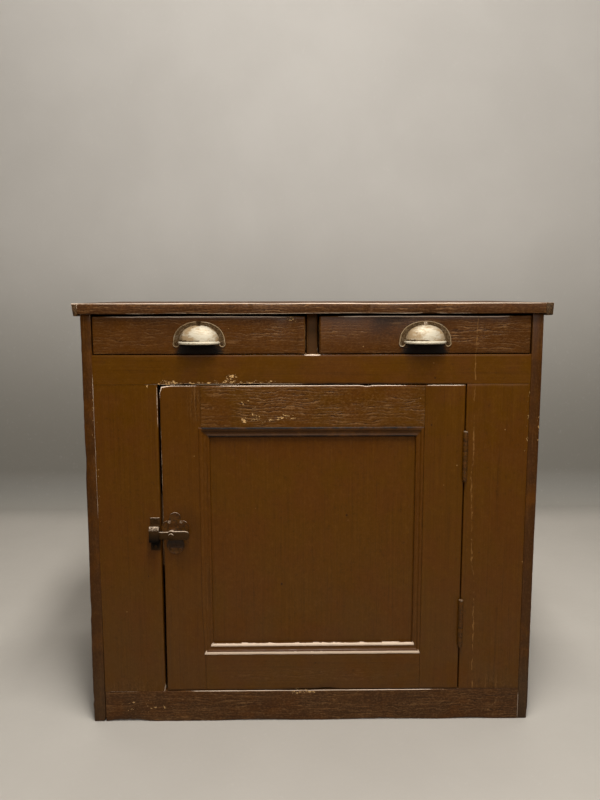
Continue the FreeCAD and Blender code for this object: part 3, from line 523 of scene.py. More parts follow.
def plated_brass(metal):
    """Nickel plate worn to brass: mottled, tarnished in its corners, scratched, and kept bright nickel where
    a highlight is painted.
    """
    r = Recipe("plated_brass")
    here = r.place()[0]
    _, tarnish, bright, _ = r.attribute("wear")
    blotches = r.cloud(r.stretch(here, 0.6, 1.0, 1.3), 70.0, 6.0, 0.7, 0.6)
    scratches = r.cloud(r.stretch(r.warp(here, 60.0, 0.006), 60.0, 300.0, 420.0), 1.0, 3.0, 0.6)
    small = r.cloud(here, 300.0, 5.0, 0.75)
    # Where the painted highlight lies, the nickel is kept and less brass shows.
    worn = r.ramp(r.math("SUBTRACT", blotches, r.product(bright, 0.24)), 0.26, 0.5)
    r.base = r.blend(r.product(worn, 0.85), metal.nickel, metal.brass)
    r.coat(r.ramp(scratches, 0.5, 0.72, 0.0, 0.4), metal.brass)
    dirt = r.total(tarnish, r.product(r.math("SUBTRACT", small, 0.5), 1.0))
    dark = r.ramp(dirt, 0.3, 0.95)
    r.coat(dark, metal.tarnish)
    freckles = r.spots(r.warp(here, 300.0, 0.002), 0.0065, 0.0015, 0.25)
    r.coat(r.product(freckles, 0.6), metal.tarnish)
    height = r.total(
        r.product(small, 0.08),
        r.product(scratches, 0.05),
        r.product(freckles, -0.05),
    )
    rough = r.total(r.ramp(small, 0.3, 0.7, 0.56, 0.68), r.product(dark, 0.1), r.product(worn, 0.06))
    metallic = r.ramp(dark, 0.0, 0.8, 0.3, 0.0)
    return r.surface(height, Roughness=rough, Metallic=metallic, Specular_IOR_Level=0.15)


def old_iron(metal):
    """Dark iron, pitted, rubbed bright on its edges, pale on faces turned up as a painted highlight, and
    darkened behind the latch's lever as painted shadow.
    """
    r = Recipe("old_iron")
    here = r.place()[0]
    _, edge, bare, darkening = r.attribute("wear")
    pits = r.cloud(here, 420.0, 4.0, 0.7)
    rust = r.ramp(r.cloud(here, 70.0, 4.0, 0.65), 0.46, 0.7)
    r.base = r.blend(r.product(rust, 0.5), metal.iron, colour(48, 30, 16))
    r.coat(r.ramp(pits, 0.5, 0.7, 0.0, 0.3), colour(92, 66, 40))
    # Bright on edges and pits, and pale on faces turned up, which is a painted highlight.
    rub = r.ramp(r.total(r.product(edge, 0.3), bare, r.product(pits, 0.9)), 0.95, 1.35)
    r.coat(r.product(rub, 0.9), metal.iron_worn)
    # Painted shadow behind and under the latch's lever, on the keeper.
    r.coat(darkening, colour(14, 9, 5))
    height = r.total(r.product(pits, 0.2), r.product(r.cloud(here, 1500.0, 2.0), 0.03))
    rough = r.total(r.ramp(pits, 0.3, 0.7, 0.55, 0.7), r.product(rub, -0.1))
    return r.surface(height, Roughness=rough, Specular_IOR_Level=0.05)


def painted_iron(paint, metal):
    """Iron painted over in the same brown, worn through on its high points, pale where it faces up as a
    painted highlight, and darkened under the latch's lever as painted shadow.
    """
    r = Recipe("painted_iron")
    here = r.place()[0]
    _, edge, bare, darkening = r.attribute("wear")
    lumps = r.cloud(here, 260.0, 4.0, 0.65)
    r.base = r.blend(r.ramp(r.cloud(here, 60.0, 3.0), 0.4, 0.65, 0.0, 0.4), paint.olive, paint.red)
    r.coat(r.ramp(lumps, 0.42, 0.62, 0.1, 0.7), colour(40, 26, 8))
    # Bright on edges and pits, and pale on faces turned up, which is a painted highlight.
    rub = r.ramp(r.total(r.product(edge, 0.45), bare, r.product(lumps, 0.8)), 1.05, 1.45)
    r.coat(r.product(rub, 0.85), metal.iron_worn)
    # Painted shadow behind and under the latch's lever, on the plate.
    r.coat(darkening, colour(26, 16, 8))
    height = r.product(lumps, 0.25)
    rough = r.ramp(lumps, 0.3, 0.7, 0.4, 0.55)
    return r.surface(height, Roughness=rough, Specular_IOR_Level=0.18)


def dull_steel(metal):
    """Screw and nail heads, dulled and a little rusty."""
    r = Recipe("dull_steel")
    here = r.place()[0]
    patchy = r.cloud(here, 500.0, 4.0, 0.65)
    r.base = r.blend(r.ramp(patchy, 0.45, 0.7), metal.steel, colour(84, 58, 36))
    rough = r.ramp(patchy, 0.3, 0.7, 0.32, 0.55)
    return r.surface(r.product(patchy, 0.06), Roughness=rough, Metallic=0.85)


def studio_backdrop(stage):
    """Plain pale floor, and a wall whose colour darkens towards its foot as painted shade, faintly mottled.
    """
    r = Recipe("studio_backdrop")
    here, _, back, level = r.place()
    soft = r.ramp(r.cloud(here, 1.6, 4.0, 0.6), 0.3, 0.7)
    grit = r.cloud(here, 55.0, 5.0, 0.7)
    # Painted shade: the wall's colour darkens from its top towards its foot.
    wall = r.blend(r.ramp(level, 0.2, 1.3), stage.wall_foot, stage.wall_top)
    r.base = r.blend(r.ramp(r.math("ADD", back, level), 1.15, 1.6), stage.floor, wall)
    r.coat(r.product(soft, 0.12), colour(120, 112, 100))
    r.coat(r.ramp(grit, 0.55, 0.8, 0.0, 0.1), colour(230, 226, 218))
    rough = r.ramp(grit, 0.3, 0.7, 0.6, 0.75)
    return r.surface(r.product(grit, 0.15), one_sided=True, Roughness=rough)


def finish(name):
    """The material of that name, made the first time that it is asked for."""
    found = bpy.data.materials.get(name)
    if found:
        return found
    look = settings()
    makers = {
        "brown_paint": lambda: brown_paint(look.paint),
        "bare_pine": lambda: bare_pine(look.paint),
        "plated_brass": lambda: plated_brass(look.metal),
        "old_iron": lambda: old_iron(look.metal),
        "painted_iron": lambda: painted_iron(look.paint, look.metal),
        "dull_steel": lambda: dull_steel(look.metal),
        "studio_backdrop": lambda: studio_backdrop(look.stage),
    }
    return makers[name]()


# ---- shaping ------------------------------------------------------------------------------


def linked(name, data):
    """A new object in the scene."""
    made = bpy.data.objects.new(name, data)
    bpy.context.scene.collection.objects.link(made)
    return made


def plain_mesh(holder):
    """What an object's modifiers make of its mesh; the object and its own mesh go."""
    source = holder.data
    seen = holder.evaluated_get(bpy.context.evaluated_depsgraph_get())
    made = bpy.data.meshes.new_from_object(seen)
    holder.modifiers.clear()
    bpy.data.objects.remove(holder)
    bpy.data.meshes.remove(source)
    return made


def corners(points):
    """The lowest and the highest corner of a box round the points."""
    low = Vector([min(point[axis] for point in points) for axis in range(3)])
    high = Vector([max(point[axis] for point in points) for axis in range(3)])
    return low, high


def merged_copy(nodes, merge):
    """A copy of the nodes' meshes with their doubles merged and their flat faces joined."""
    solid = bmesh.new()
    for node in nodes:
        solid.from_mesh(frame["nodes"][node].data)
    bmesh.ops.remove_doubles(solid, verts=solid.verts, dist=merge)
    bmesh.ops.dissolve_limit(solid, angle_limit=FLAT_BELOW, verts=solid.verts, edges=solid.edges)
    return solid


def slice_across(solid, axis, spacing):
    """Cuts loops across the solid, between its own corners."""
    levels = sorted({round(corner.co[axis], 5) for corner in solid.verts})
    direction = Vector([1.0 if axis == index else 0.0 for index in range(3)])
    for low, high in zip(levels, levels[1:]):
        count = int((high - low) / spacing)
        for step in range(1, count + 1):
            cut = low + (high - low) * step / (count + 1)
            bmesh.ops.bisect_plane(
                solid,
                geom=solid.verts[:] + solid.edges[:] + solid.faces[:],
                plane_co=direction * cut,
                plane_no=direction,
                dist=1e-6,
            )


neighbours = {}


def neighbour_trees():
    """A search tree over each wooden node's faces, made once."""
    if not neighbours:
        for node, slot in SLOTS.items():
            if slot in ("painted_wood", "bare_wood"):
                solid = bmesh.new()
                solid.from_mesh(frame["nodes"][node].data)
                neighbours[node] = (BVHTree.FromBMesh(solid), *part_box(node))
                solid.free()
    return neighbours


def touches_another(point, node, reach):
    """True if another board's face is within reach of the point."""
    for other, (tree, low, high) in neighbour_trees().items():
        if other == node:
            continue
        if any(not low[i] - reach < point[i] < high[i] + reach for i in range(3)):
            continue
        if tree.find_nearest(point, reach)[0] is not None:
            return True
    return False


def arris_weights(solid, node, joint, free, shift):
    """How wide each edge is worn, as a share of the widest: free edges most, joints least."""
    weights = []
    for edge in solid.edges:
        weight = 0.0
        if len(edge.link_faces) == 2 and edge.calc_length() > SHORTEST_ARRIS:
            if edge.calc_face_angle(0.0) > ARRIS_FROM and edge.is_convex:
                middle = (edge.verts[0].co + edge.verts[1].co) / 2
                if touches_another(middle, node, TOUCHING):
                    weight = joint / free
                else:
                    weight = 0.72 + 0.28 * noise.noise(middle * 14 + shift)
        weights.append(weight)
    return weights


def with_arrises(solid, name, width, weights):
    """A mesh of the solid with its weighted edges rounded, and how near to an edge each point is."""
    mesh = bpy.data.meshes.new(name)
    solid.to_mesh(mesh)
    solid.free()
    layer = mesh.attributes.new("bevel_weight_edge", "FLOAT", "EDGE")
    layer.data.foreach_set("value", weights)
    # The rounded faces get the second of two empty slots, which tells them from the flat ones.
    mesh.materials.append(None)
    mesh.materials.append(None)
    rough = linked(name + "_rough", mesh)
    bevel = rough.modifiers.new("Arrises", "BEVEL")
    bevel.limit_method = "WEIGHT"
    bevel.width = width
    bevel.segments = 2
    bevel.material = 1
    bevel.use_clamp_overlap = False
    shaped = plain_mesh(rough)
    counts = [[0, 0] for _ in shaped.vertices]
    for face in shaped.polygons:
        for index in face.vertices:
            counts[index][face.material_index == 1] += 1
        face.material_index = 0
    near = [0.0 if not rounded else 0.5 if flat else 1.0 for flat, rounded in counts]
    for extra in ("bevel_weight_edge", "custom_normal"):
        if extra in shaped.attributes:
            shaped.attributes.remove(shaped.attributes[extra])
    shaped.name = name
    return shaped, near


def store(mesh, name, vectors):
    """Keeps one vector for each point of the mesh, for its material to read."""
    layer = mesh.attributes.new(name, "FLOAT_VECTOR", "POINT")
    layer.data.foreach_set("vector", [number for vector in vectors for number in vector])


def separate_boards(mesh):
    """Lists of point numbers, one for each loose board in the mesh."""
    leader = list(range(len(mesh.vertices)))

    def top(index):
        while leader[index] != index:
            leader[index] = leader[leader[index]]
            index = leader[index]
        return index

    for edge in mesh.edges:
        first, second = (top(index) for index in edge.vertices)
        leader[first] = second
    groups = {}
    for index in range(len(mesh.vertices)):
        groups.setdefault(top(index), []).append(index)
    return list(groups.values())


def store_grain(mesh, name, along=None):
    """Stores each point's place along, across and into the grain of its own board."""
    rng = random.Random(name)
    places = [None] * len(mesh.vertices)
    for board in separate_boards(mesh):
        low, high = corners([mesh.vertices[index].co for index in board])
        order = sorted(range(3), key=lambda axis: (high[axis] - low[axis], axis), reverse=True)
        if along is not None:
            order = [along] + [axis for axis in order if axis != along]
        middle = [low[axis] + (high[axis] - low[axis]) / 2 for axis in order]
        offset, side = rng.uniform(0, 5), rng.uniform(-0.05, 0.05)
        heart = (offset, side, rng.choice((-1, 1)) * rng.uniform(0.05, 0.12))
        for index in board:
            point = mesh.vertices[index].co
            places[index] = [point[a] - m + h for a, m, h in zip(order, middle, heart)]
    store(mesh, "grain", places)


def push_in(mesh, dents):
    """Pushes points round each dent: its place, its three reaches and its three pushes, in mm."""
    for x, y, z, reach_x, reach_y, reach_z, *push in dents:
        move = Vector(push) * MM
        for point in mesh.vertices:
            u = (point.co.x / MM - x) / reach_x
            v = (point.co.y / MM - y) / reach_y
            w = (point.co.z / MM - z) / reach_z
            away = u * u + v * v + w * w
            if away < 1.0:
                ragged = 0.8 + 0.35 * noise.noise(point.co * 110)
                point.co += move * (1 - away) ** 1.5 * ragged


def waver(mesh, near, hollow, nick, shift):
    """Gives flat faces the slight hollows of hand planing and edges their nicks."""
    moves = []
    for point, edge in zip(mesh.vertices, near):
        place = point.co
        # broad dips on the faces, then soft and sharp nicks on the edges
        dip = max(0.0, 0.5 + 0.5 * noise.noise(place * 8 + shift))
        small = 0.5 + 0.5 * noise.noise(place * 38 + shift)
        sharp = max(0.0, 0.5 + 0.5 * noise.noise(place * 120 + shift))
        depth = hollow * dip + edge * nick * (0.6 * small * small + 0.4 * sharp**3)
        moves.append(point.normal * depth)
    for point, move in zip(mesh.vertices, moves):
        point.co -= move


# A mark fades out this far behind the front, in mm, but these kinds go right through.
MARK_DEPTH = 24.0
DEEP_MARKS = ("dusty", "reddened", "stained_and_shaded")

# The kinds of mark that each stored layer holds; only paint reads the last two layers.
LAYERS = {
    "wear": ("cracked", "chipped"),
    "marks": ("scuffed", "stained_and_shaded", "rubbed_and_lit"),
    "tone": ("reddened", "dusty", "run"),
}


def patch_values(mesh, base, patches, deep):
    """How marked each point is: the base amount, or more inside a patch, which fades outwards."""
    front = min(point.co.y for point in mesh.vertices)
    values = []
    for point in mesh.vertices:
        value = base
        back = 0.0 if deep else ((point.co.y - front) / MM / MARK_DEPTH) ** 2
        for x, z, reach_x, reach_z, amount in patches:
            beside = ((point.co.x / MM - x) / reach_x) ** 2
            away = beside + ((point.co.z / MM - z) / reach_z) ** 2 + back
            if away < 1.0:
                value = max(value, amount * min(1.0, 1.6 * (1 - away)))
        values.append(value)
    return values


def piece(name, mesh, nodes, material):
    """Puts a finished mesh in the scene: it rides with its node's body and stands for its nodes."""
    made = linked(name, mesh)
    mesh.materials.clear()
    mesh.materials.append(finish(material))
    for face in mesh.polygons:
        face.use_smooth = True
    mesh.set_sharp_from_angle(angle=SMOOTH_BELOW)
    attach(made, frame["nodes"][nodes[0]]["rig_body"])
    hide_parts(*nodes)
    return made


class Board:
    """How one board is worn: its slices, its marks, its dents and the way its grain runs.

    A mark is its kind, its x and z, its reach along each and its amount. A dent is its place,
    its reach along each axis and its push along each. Their lengths are in mm. Other names
    give how much of a kind of mark the whole board has.
    """

    def __init__(self, slices=1.0, arris=1.0, joint=1.0, marks=(), dents=(), along=None, **base):
        self.slices = slices
        self.arris = arris
        self.joint = joint
        self.marks = marks
        self.dents = dents
        self.along = along
        self.base = base

    def values(self, mesh, kind):
        """One kind of mark at every point of the mesh."""
        patches = [mark[1:] for mark in self.marks if mark[0] == kind]
        return patch_values(mesh, self.base.get(kind, 0.0), patches, kind in DEEP_MARKS)


def worn_board(node, board, material):
    """One board from its node: edges worn, faces hollowed, marks stored for its paint."""
    wear = settings().wear
    shift = Vector([random.Random(node + axis).uniform(-50, 50) for axis in "xyz"])
    solid = merged_copy([node], 1e-5)
    if board.slices:
        for axis in range(3):
            slice_across(solid, axis, wear.slice * board.slices)
    free = wear.arris * board.arris
    weights = arris_weights(solid, node, wear.joint * board.joint, free, shift)
    name = "worn_" + node
    mesh, near = with_arrises(solid, name, free, weights)
    waver(mesh, near, wear.hollow, wear.nick * board.arris, shift)
    push_in(mesh, board.dents)
    for point in mesh.vertices:
        point.co.x = max(FRAME_LOW.x, min(FRAME_HIGH.x, point.co.x))
    store_grain(mesh, node, board.along)
    for layer, kinds in LAYERS.items():
        columns = [board.values(mesh, kind) for kind in kinds]
        if layer == "wear":
            columns.insert(0, near)
        if layer == "wear" or material == "brown_paint":
            store(mesh, layer, zip(*columns))
    return piece(name, mesh, [node], material)


def inset(solid, faces, rim, push):
    """Draws the faces in by a rim and moves them back, or forwards where push is negative."""
    bmesh.ops.inset_region(solid, faces=faces, thickness=rim, use_even_offset=True, use_boundary=True)
    inner = set(corner for face in faces for corner in face.verts)
    bmesh.ops.translate(solid, verts=list(inner), vec=(0.0, push, 0.0))


def sunk_front(solid, rim, depth):
    """Sinks the faces that look forward, all but a rim round them."""
    front = [face for face in solid.faces if face.normal.y < -0.99]
    inset(solid, front, rim, depth)


def worn_fitting(name, nodes, material, radius, roughness, rim=0.0, polish_and_highlight=0.0):
    """A metal fitting from its nodes, its edges rounded and what faces up made pale as a painted highlight.
    """
    solid = merged_copy(nodes, 1e-6)
    if rim:
        solid.normal_update()
        sunk_front(solid, rim, 0.9 * MM)
    weights = []
    for edge in solid.edges:
        sharp = len(edge.link_faces) == 2 and edge.calc_face_angle(0.0) > ROUNDED_FROM
        weights.append(1.0 if sharp and edge.is_convex else 0.0)
    mesh, near = with_arrises(solid, name, radius, weights)
    for point in mesh.vertices:
        point.co -= point.normal * roughness * (0.5 + 0.5 * noise.noise(point.co * 300))
    # Painted highlight: faces that turn up are paled, as light from above would catch them.
    upward = [max(0.0, point.normal.z) for point in mesh.vertices]
    store(mesh, "wear", [(value, polish_and_highlight * up, 0.0) for value, up in zip(near, upward)])
    return piece(name, mesh, nodes, material)


# ---- the boards' wear ---------------------------------------------------------------------

# Rubbed marks pale the paint as wear and, along edges lit from above, as painted highlights; stained marks
# darken it as stains and, in places, as painted shade.
CASE_BOARDS = {
    "side_left": Board(
        rubbed_and_lit=0.15, reddened=0.5, chipped=0.25, stained_and_shaded=0.42, scuffed=0.3, slices=1.5, arris=1.3, joint=1.3,
        marks=(
            ("rubbed_and_lit", -437, 590, 5, 200, 1.0),
            ("rubbed_and_lit", -437, 830, 5, 24, 0.45),
            ("chipped", -437, 600, 8, 190, 0.7),
            ("dusty", -446, 0, 40, 160, 0.55),
            ("chipped", -446, 180, 14, 70, 0.6),
            ("rubbed_and_lit", -446, 856, 14, 8, 1.0),
        ),
        dents=(
            (-457, -216, 0, 30, 60, 420, -4.5, 0, 0),
            (-457, -216, 4, 8, 10, 9, 2.5, 2, 0),
            (-435, -216, 2, 9, 10, 14, -4, 2, 2),
            (-457, -216, 250, 6, 8, 20, 1.5, 1, 0),
            (-457, -216, 560, 6, 8, 40, 1.5, 1, 0),
            (-457, -216, 800, 8, 30, 300, 2, 0, 0),
        ),
    ),
    "side_right": Board(
        rubbed_and_lit=0.1, reddened=0.5, slices=1.5, arris=1.2, chipped=0.1, stained_and_shaded=0.45, scuffed=0.3, joint=2.0,
        marks=(
            ("dusty", 446, 0, 40, 160, 0.7),
            ("rubbed_and_lit", 436, 30, 4, 36, 1.0),
            ("rubbed_and_lit", 446, 854, 14, 8, 0.9),
            ("chipped", 455, 640, 6, 60, 0.7),
        ),
        dents=((457, -216, 0, 10, 10, 30, -2, 1, 0), (457, -216, 250, 10, 20, 420, -1.3, 0, 0)),
    ),
    "front_stile_left": Board(
        joint=0.25,
        marks=(
            ("rubbed_and_lit", -434, 640, 5, 110, 1.0),
            ("chipped", -432, 560, 8, 220, 0.6),
            ("chipped", -325, 712, 6, 20, 0.8),
            # Painted highlights: a pale line on the stile's edge by the latch-side gap, and a pale spot at
            # its foot.
            ("rubbed_and_lit", -309, 672, 3, 50, 0.8),
            ("rubbed_and_lit", -309, 74, 7, 8, 5.0),
            ("scuffed", -372, 20, 80, 90, 0.7),
            ("rubbed_and_lit", -400, 69, 36, 2, 0.9),
        ),
        dents=((-308, -216, 330, 8, 12, 260, -1.4, 0, 0), (-308, -216, 66, 8, 12, 12, -2, 1, 0)),
    ),
    "front_stile_right": Board(
        run=1.0, joint=2.0,
        marks=(("scuffed", 372, 20, 80, 90, 0.7), ("chipped", 432, 640, 6, 120, 0.65)),
    ),
    "drawer_rail": Board(
        run=1.0, joint=0.15,
        marks=(
            ("chipped", -160, 728, 24, 13, 0.95),
            ("chipped", -84, 726, 26, 9, 0.85),
            ("chipped", -200, 718, 130, 6, 0.8),
            ("chipped", -60, 720, 40, 5, 0.6),
            ("chipped", -285, 718, 34, 6, 1.0),
            ("chipped", -262, 718, 40, 4, 0.85),
            ("rubbed_and_lit", -180, 718, 190, 5, 1.8),
            ("stained_and_shaded", 0, 716, 330, 2.5, 1.1),
            # Pale patch on the rail's top before the set-back partition: wear, and a painted highlight where
            # the light falls on it.
            ("rubbed_and_lit", 1, 775, 16, 3.4, 7.0),
            ("chipped", -120, 722, 90, 4, 0.8),
            ("chipped", 40, 733, 30, 4, 0.6),
            ("chipped", 352, 742, 22, 3, 0.6),
        ),
        dents=((-250, -216, 716, 25, 8, 5, 0, 1, 1.5), (-120, -216, 716, 40, 8, 5, 0, 1, 1.5)),
    ),
    "base_rail": Board(
        cracked=0.35, scuffed=0.75, stained_and_shaded=0.38, reddened=0.7, dusty=0.2, chipped=0.25,
        arris=1.3, joint=1.3,
        marks=(
            ("chipped", -20, 62, 40, 8, 0.85),
            ("chipped", -350, 34, 90, 22, 0.64),
            # Pale line along the top edge: wear, and a painted highlight where the light falls on it.
            ("rubbed_and_lit", 0, 68, 320, 5, 1.15),
            ("rubbed_and_lit", -395, 68, 42, 4, 0.7),
        ),
        dents=(
            (-30, -216, 68, 50, 10, 6, 0, 2, -1.5),
            (-390, -216, 0, 60, 14, 9, 0, 3, 4),
            (150, -216, 0, 120, 12, 8, 0, 2, 2),
            (-120, -216, 0, 90, 12, 6, 0, 2, 1.5),
            (330, -216, 0, 60, 12, 6, 0, 2, 1.5),
        ),
    ),
    # Painted light: the rubbed patch lightens the set-back partition, which otherwise lies in shade.
    "drawer_partition": Board(marks=(("dusty", 4, 800, 20, 60, 0.4), ("rubbed_and_lit", 4, 800, 20, 60, 0.45))),
}

TOP_BOARDS = {
    "top_board_front": Board(
        cracked=0.6, scuffed=0.6, reddened=0.7, stained_and_shaded=0.42, arris=1.45, slices=1.1,
        marks=(
            # Painted reflection: this pale strip on the top's front edge stands for the bright wall seen
            # mirrored at a grazing angle.
            ("rubbed_and_lit", 0, 877, 560, 7, 1.4),
            ("rubbed_and_lit", -20, 856, 460, 4, 0.85),
            ("stained_and_shaded", 0, 871, 640, 5, 0.8),
            ("chipped", 395, 864, 12, 9, 0.8),
            ("rubbed_and_lit", -445, 866, 20, 12, 0.5),
        ),
        dents=(
            (230, -228, 856, 24, 12, 7, 0, 1.5, 3),
            (-70, -228, 877, 60, 12, 6, 0, 1, -1),
            (150, -228, 877, 90, 12, 6, 0, 1, -1),
            (-250, -228, 856, 70, 12, 6, 0, 1, 1.5),
            (60, -228, 856, 120, 12, 6, 0, 1, 1),
        ),
    ),
    "top_board_middle": Board(cracked=0.5, scuffed=0.6, reddened=0.7, stained_and_shaded=0.35, slices=2.0),
    "top_board_back": Board(cracked=0.5, scuffed=0.6, reddened=0.7, stained_and_shaded=0.35, slices=2.0),
    "top_batten_left": Board(
        cracked=0.5, scuffed=0.5, dusty=0.7, stained_and_shaded=0.35, arris=1.5,
        # The pale top edge is partly a painted highlight, like the top's front edge.
        marks=(("rubbed_and_lit", -465, 877, 12, 6, 1.1), ("stained_and_shaded", -465, 858, 12, 8, 0.7)),
        dents=(
            (-474, -228, 852, 9, 14, 10, 4, 1, 4),
            (-472, -228, 852, 9, 110, 60, 4.5, 0, 0),
        ),
    ),
    "top_batten_right": Board(
        cracked=0.5, scuffed=0.5, dusty=1.0, stained_and_shaded=0.3, arris=1.2,
        # The pale top edge is partly a painted highlight, like the top's front edge.
        marks=(("rubbed_and_lit", 465, 877, 12, 5, 0.6), ("stained_and_shaded", 465, 858, 12, 8, 0.7)),
        dents=((472, -228, 852, 6, 10, 6, -1.2, 1, 1.2),),
    ),
}

DOOR_BOARDS = {
    "door_stile_latch": Board(
        arris=1.3, reddened=0.25,
        marks=(
            # Pale line along the top edge (z 713): wear, and a painted highlight from the light above.
            ("rubbed_and_lit", -290, 713, 26, 6, 1.3),
            ("rubbed_and_lit", -301, 712, 7, 6, 5.0),
            ("rubbed_and_lit", -303, 706, 4, 16, 1.2),
            ("rubbed_and_lit", -303, 500, 3, 200, 0.55),
            # Pale line along the top edge (z 713): wear, and a painted highlight from the light above.
            ("rubbed_and_lit", -260, 713, 44, 4, 1.0),
            ("stained_and_shaded", -262, 400, 50, 80, 0.2),
            ("stained_and_shaded", -305, 400, 3, 330, 0.9),
            ("cracked", -232, 680, 20, 40, 0.4),
        ),
        dents=((-304, -216, 715, 12, 14, 12, 4, 1, -4), (-304, -216, 380, 8, 12, 280, 0.8, 0, 0)),
    ),
    "door_stile_hinge": Board(
        arris=1.2,
        # Its pale top edge (z 713) is wear and also a painted highlight from the light above.
        marks=(("rubbed_and_lit", 270, 713, 50, 4, 1.0), ("chipped", 232, 150, 20, 12, 0.5)),
    ),
    "door_rail_top": Board(
        cracked=0.5, arris=1.5, joint=0.5,
        marks=(
            ("cracked", -10, 674, 200, 46, 0.9),
            ("chipped", -128, 638, 22, 9, 0.8),
            ("chipped", -137, 645, 11, 8, 0.98),
            ("chipped", -112, 654, 14, 9, 0.85),
            ("chipped", -118, 668, 9, 7, 0.9),
            ("chipped", -134, 681, 20, 6, 0.85),
            ("chipped", -92, 640, 34, 8, 0.94),
            ("chipped", -52, 650, 40, 9, 0.84),
            # Pale line along the top edge: wear, and a painted highlight from the light above.
            ("rubbed_and_lit", 0, 713, 230, 5, 1.2),
            ("rubbed_and_lit", -20, 632.5, 230, 1.5, 4.0),
        ),
        dents=((110, -216, 714, 12, 10, 6, 0, 1, -2.5),),
    ),
    "door_rail_bottom": Board(
        marks=(("chipped", -5, 71, 60, 4, 0.6), ("cracked", 0, 100, 200, 20, 0.15)),
        dents=((30, -216, 70, 30, 12, 6, 0, 2, 2.5), (-20, -216, 70, 46, 12, 5, 0, 1, 1.2)),
    ),
    "door_panel": Board(slices=1.6, marks=(("reddened", 0, 590, 210, 40, 0.5),)),
}

DRAWER_FRONTS = {
    "drawer_left_front": Board(
        cracked=0.3, arris=1.9, reddened=0.5, stained_and_shaded=0.16, slices=0.9,
        marks=(
            ("rubbed_and_lit", -16, 812, 5, 40, 0.9),
            ("rubbed_and_lit", -24, 812, 5, 44, 4.6),
            ("chipped", -24, 812, 7, 40, 0.96),
            ("chipped", -40, 848, 24, 5, 0.9),
            # Pale line along the top edge: wear, and a painted highlight where light reaches it under the
            # top.
            ("rubbed_and_lit", -220, 850, 215, 5, 1.3),
            ("cracked", -85, 825, 80, 34, 0.9),
            ("cracked", -330, 825, 110, 22, 0.35),
            # Painted shadow: the drawer is darkened almost to black just under the cup pull's lip.
            ("stained_and_shaded", -223, 788, 54, 18, 4.5),
            ("stained_and_shaded", -223, 800, 60, 26, 0.3),
            ("stained_and_shaded", -300, 848, 60, 16, 0.3),
        ),
        dents=(
            (-223, -216, 851, 380, 20, 6, 0, 0, 1.5),
            (-13, -216, 812, 6, 10, 42, -1.2, 1, 0),
            (-60, -216, 851, 30, 10, 5, 0, 1, -1.2),
        ),
    ),
    "drawer_right_front": Board(
        cracked=0.36, run=0.8, arris=1.9, reddened=0.55, stained_and_shaded=0.24, slices=0.9,
        marks=(
            ("rubbed_and_lit", 16, 812, 5, 40, 0.5),
            ("rubbed_and_lit", 28, 812, 5, 44, 4.6),
            ("chipped", 28, 812, 7, 40, 0.9),
            ("stained_and_shaded", 150, 832, 60, 32, 0.8),
            # Painted shadow: the drawer is darkened almost to black just under the cup pull's lip.
            ("stained_and_shaded", 223, 788, 54, 18, 4.5),
            ("stained_and_shaded", 223, 800, 75, 28, 0.4),
            # Pale line along the top edge: wear, and a painted highlight where light reaches it under the
            # top.
            ("rubbed_and_lit", 220, 850, 210, 5, 1.3),
            ("cracked", 340, 815, 100, 36, 0.85),
            ("rubbed_and_lit", 421, 812, 5, 36, 4.4),
            ("rubbed_and_lit", 350, 817, 95, 4, 4.2),
            ("rubbed_and_lit", 395, 791, 50, 4, 4.0),
            ("rubbed_and_lit", 431, 810, 4, 36, 0.8),
        ),
        dents=(
            (223, -216, 851, 380, 20, 6, 0, 0, 1.5),
            (14, -216, 812, 6, 10, 42, 1.2, 1, 0),
            (330, -216, 851, 60, 10, 5, 0, 1, -1.0),
        ),
    ),
}

INSIDE_BOARDS = {
    "top_back_rail": Board(slices=0),
    "back_boards": Board(slices=4.0, arris=0.8),
    "floor_boards": Board(slices=4.0, arris=0.8),
    "floor_bearers": Board(slices=0, arris=0.5),
    "shelf": Board(slices=4.0, arris=0.8),
    "shelf_bearers": Board(slices=0, arris=0.5),
    "runner_left": Board(slices=0, arris=0.4),
    "runner_centre": Board(slices=0, arris=0.4),
    "runner_right": Board(slices=0, arris=0.4),
    "door_stop": Board(slices=0, arris=0.5),
    "drawer_stops": Board(slices=0, arris=0.4),
}

DRAWER_BOX_PARTS = ("side_left", "side_right", "back", "bottom")


def wood_finish(node):
    """Painted or bare, as the record says."""
    return "brown_paint" if SLOTS[node] == "painted_wood" else "bare_pine"


def dress(boards):
    """Makes a piece of every board in a table."""
    for node, board in boards.items():
        worn_board(node, board, wood_finish(node))


class MakeCase(bpy.types.Operator):
    """Make the case's side boards, stiles, rails and partition"""

    bl_idname = "cupboard.make_case"
    bl_label = "Case boards"

    def execute(self, context):
        dress(CASE_BOARDS)
        return {"FINISHED"}


class MakeTop(bpy.types.Operator):
    """Make the top's boards and its end battens"""

    bl_idname = "cupboard.make_top"
    bl_label = "Top"

    def execute(self, context):
        dress(TOP_BOARDS)
        return {"FINISHED"}


class MakeInside(bpy.types.Operator):
    """Make the back, the floor, the shelf and what carries them"""

    bl_idname = "cupboard.make_inside"
    bl_label = "Back and inside"

    def execute(self, context):
        dress(INSIDE_BOARDS)
        return {"FINISHED"}


class MakeDoor(bpy.types.Operator):
    """Make the door's stiles, rails and panel"""

    bl_idname = "cupboard.make_door"
    bl_label = "Door"

    def execute(self, context):
        dress(DOOR_BOARDS)
        return {"FINISHED"}


class MakeDrawers(bpy.types.Operator):
    """Make the drawer fronts and boxes"""

    bl_idname = "cupboard.make_drawers"
    bl_label = "Drawers"

    def execute(self, context):
        dress(DRAWER_FRONTS)
        for side in ("left", "right"):
            for part in DRAWER_BOX_PARTS:
                node = "_".join(("drawer", side, part))
                along = X if part == "bottom" else None
                worn_board(node, Board(slices=4.0, arris=0.6, along=along), wood_finish(node))
        return {"FINISHED"}


# ---- mouldings ----------------------------------------------------------------------------

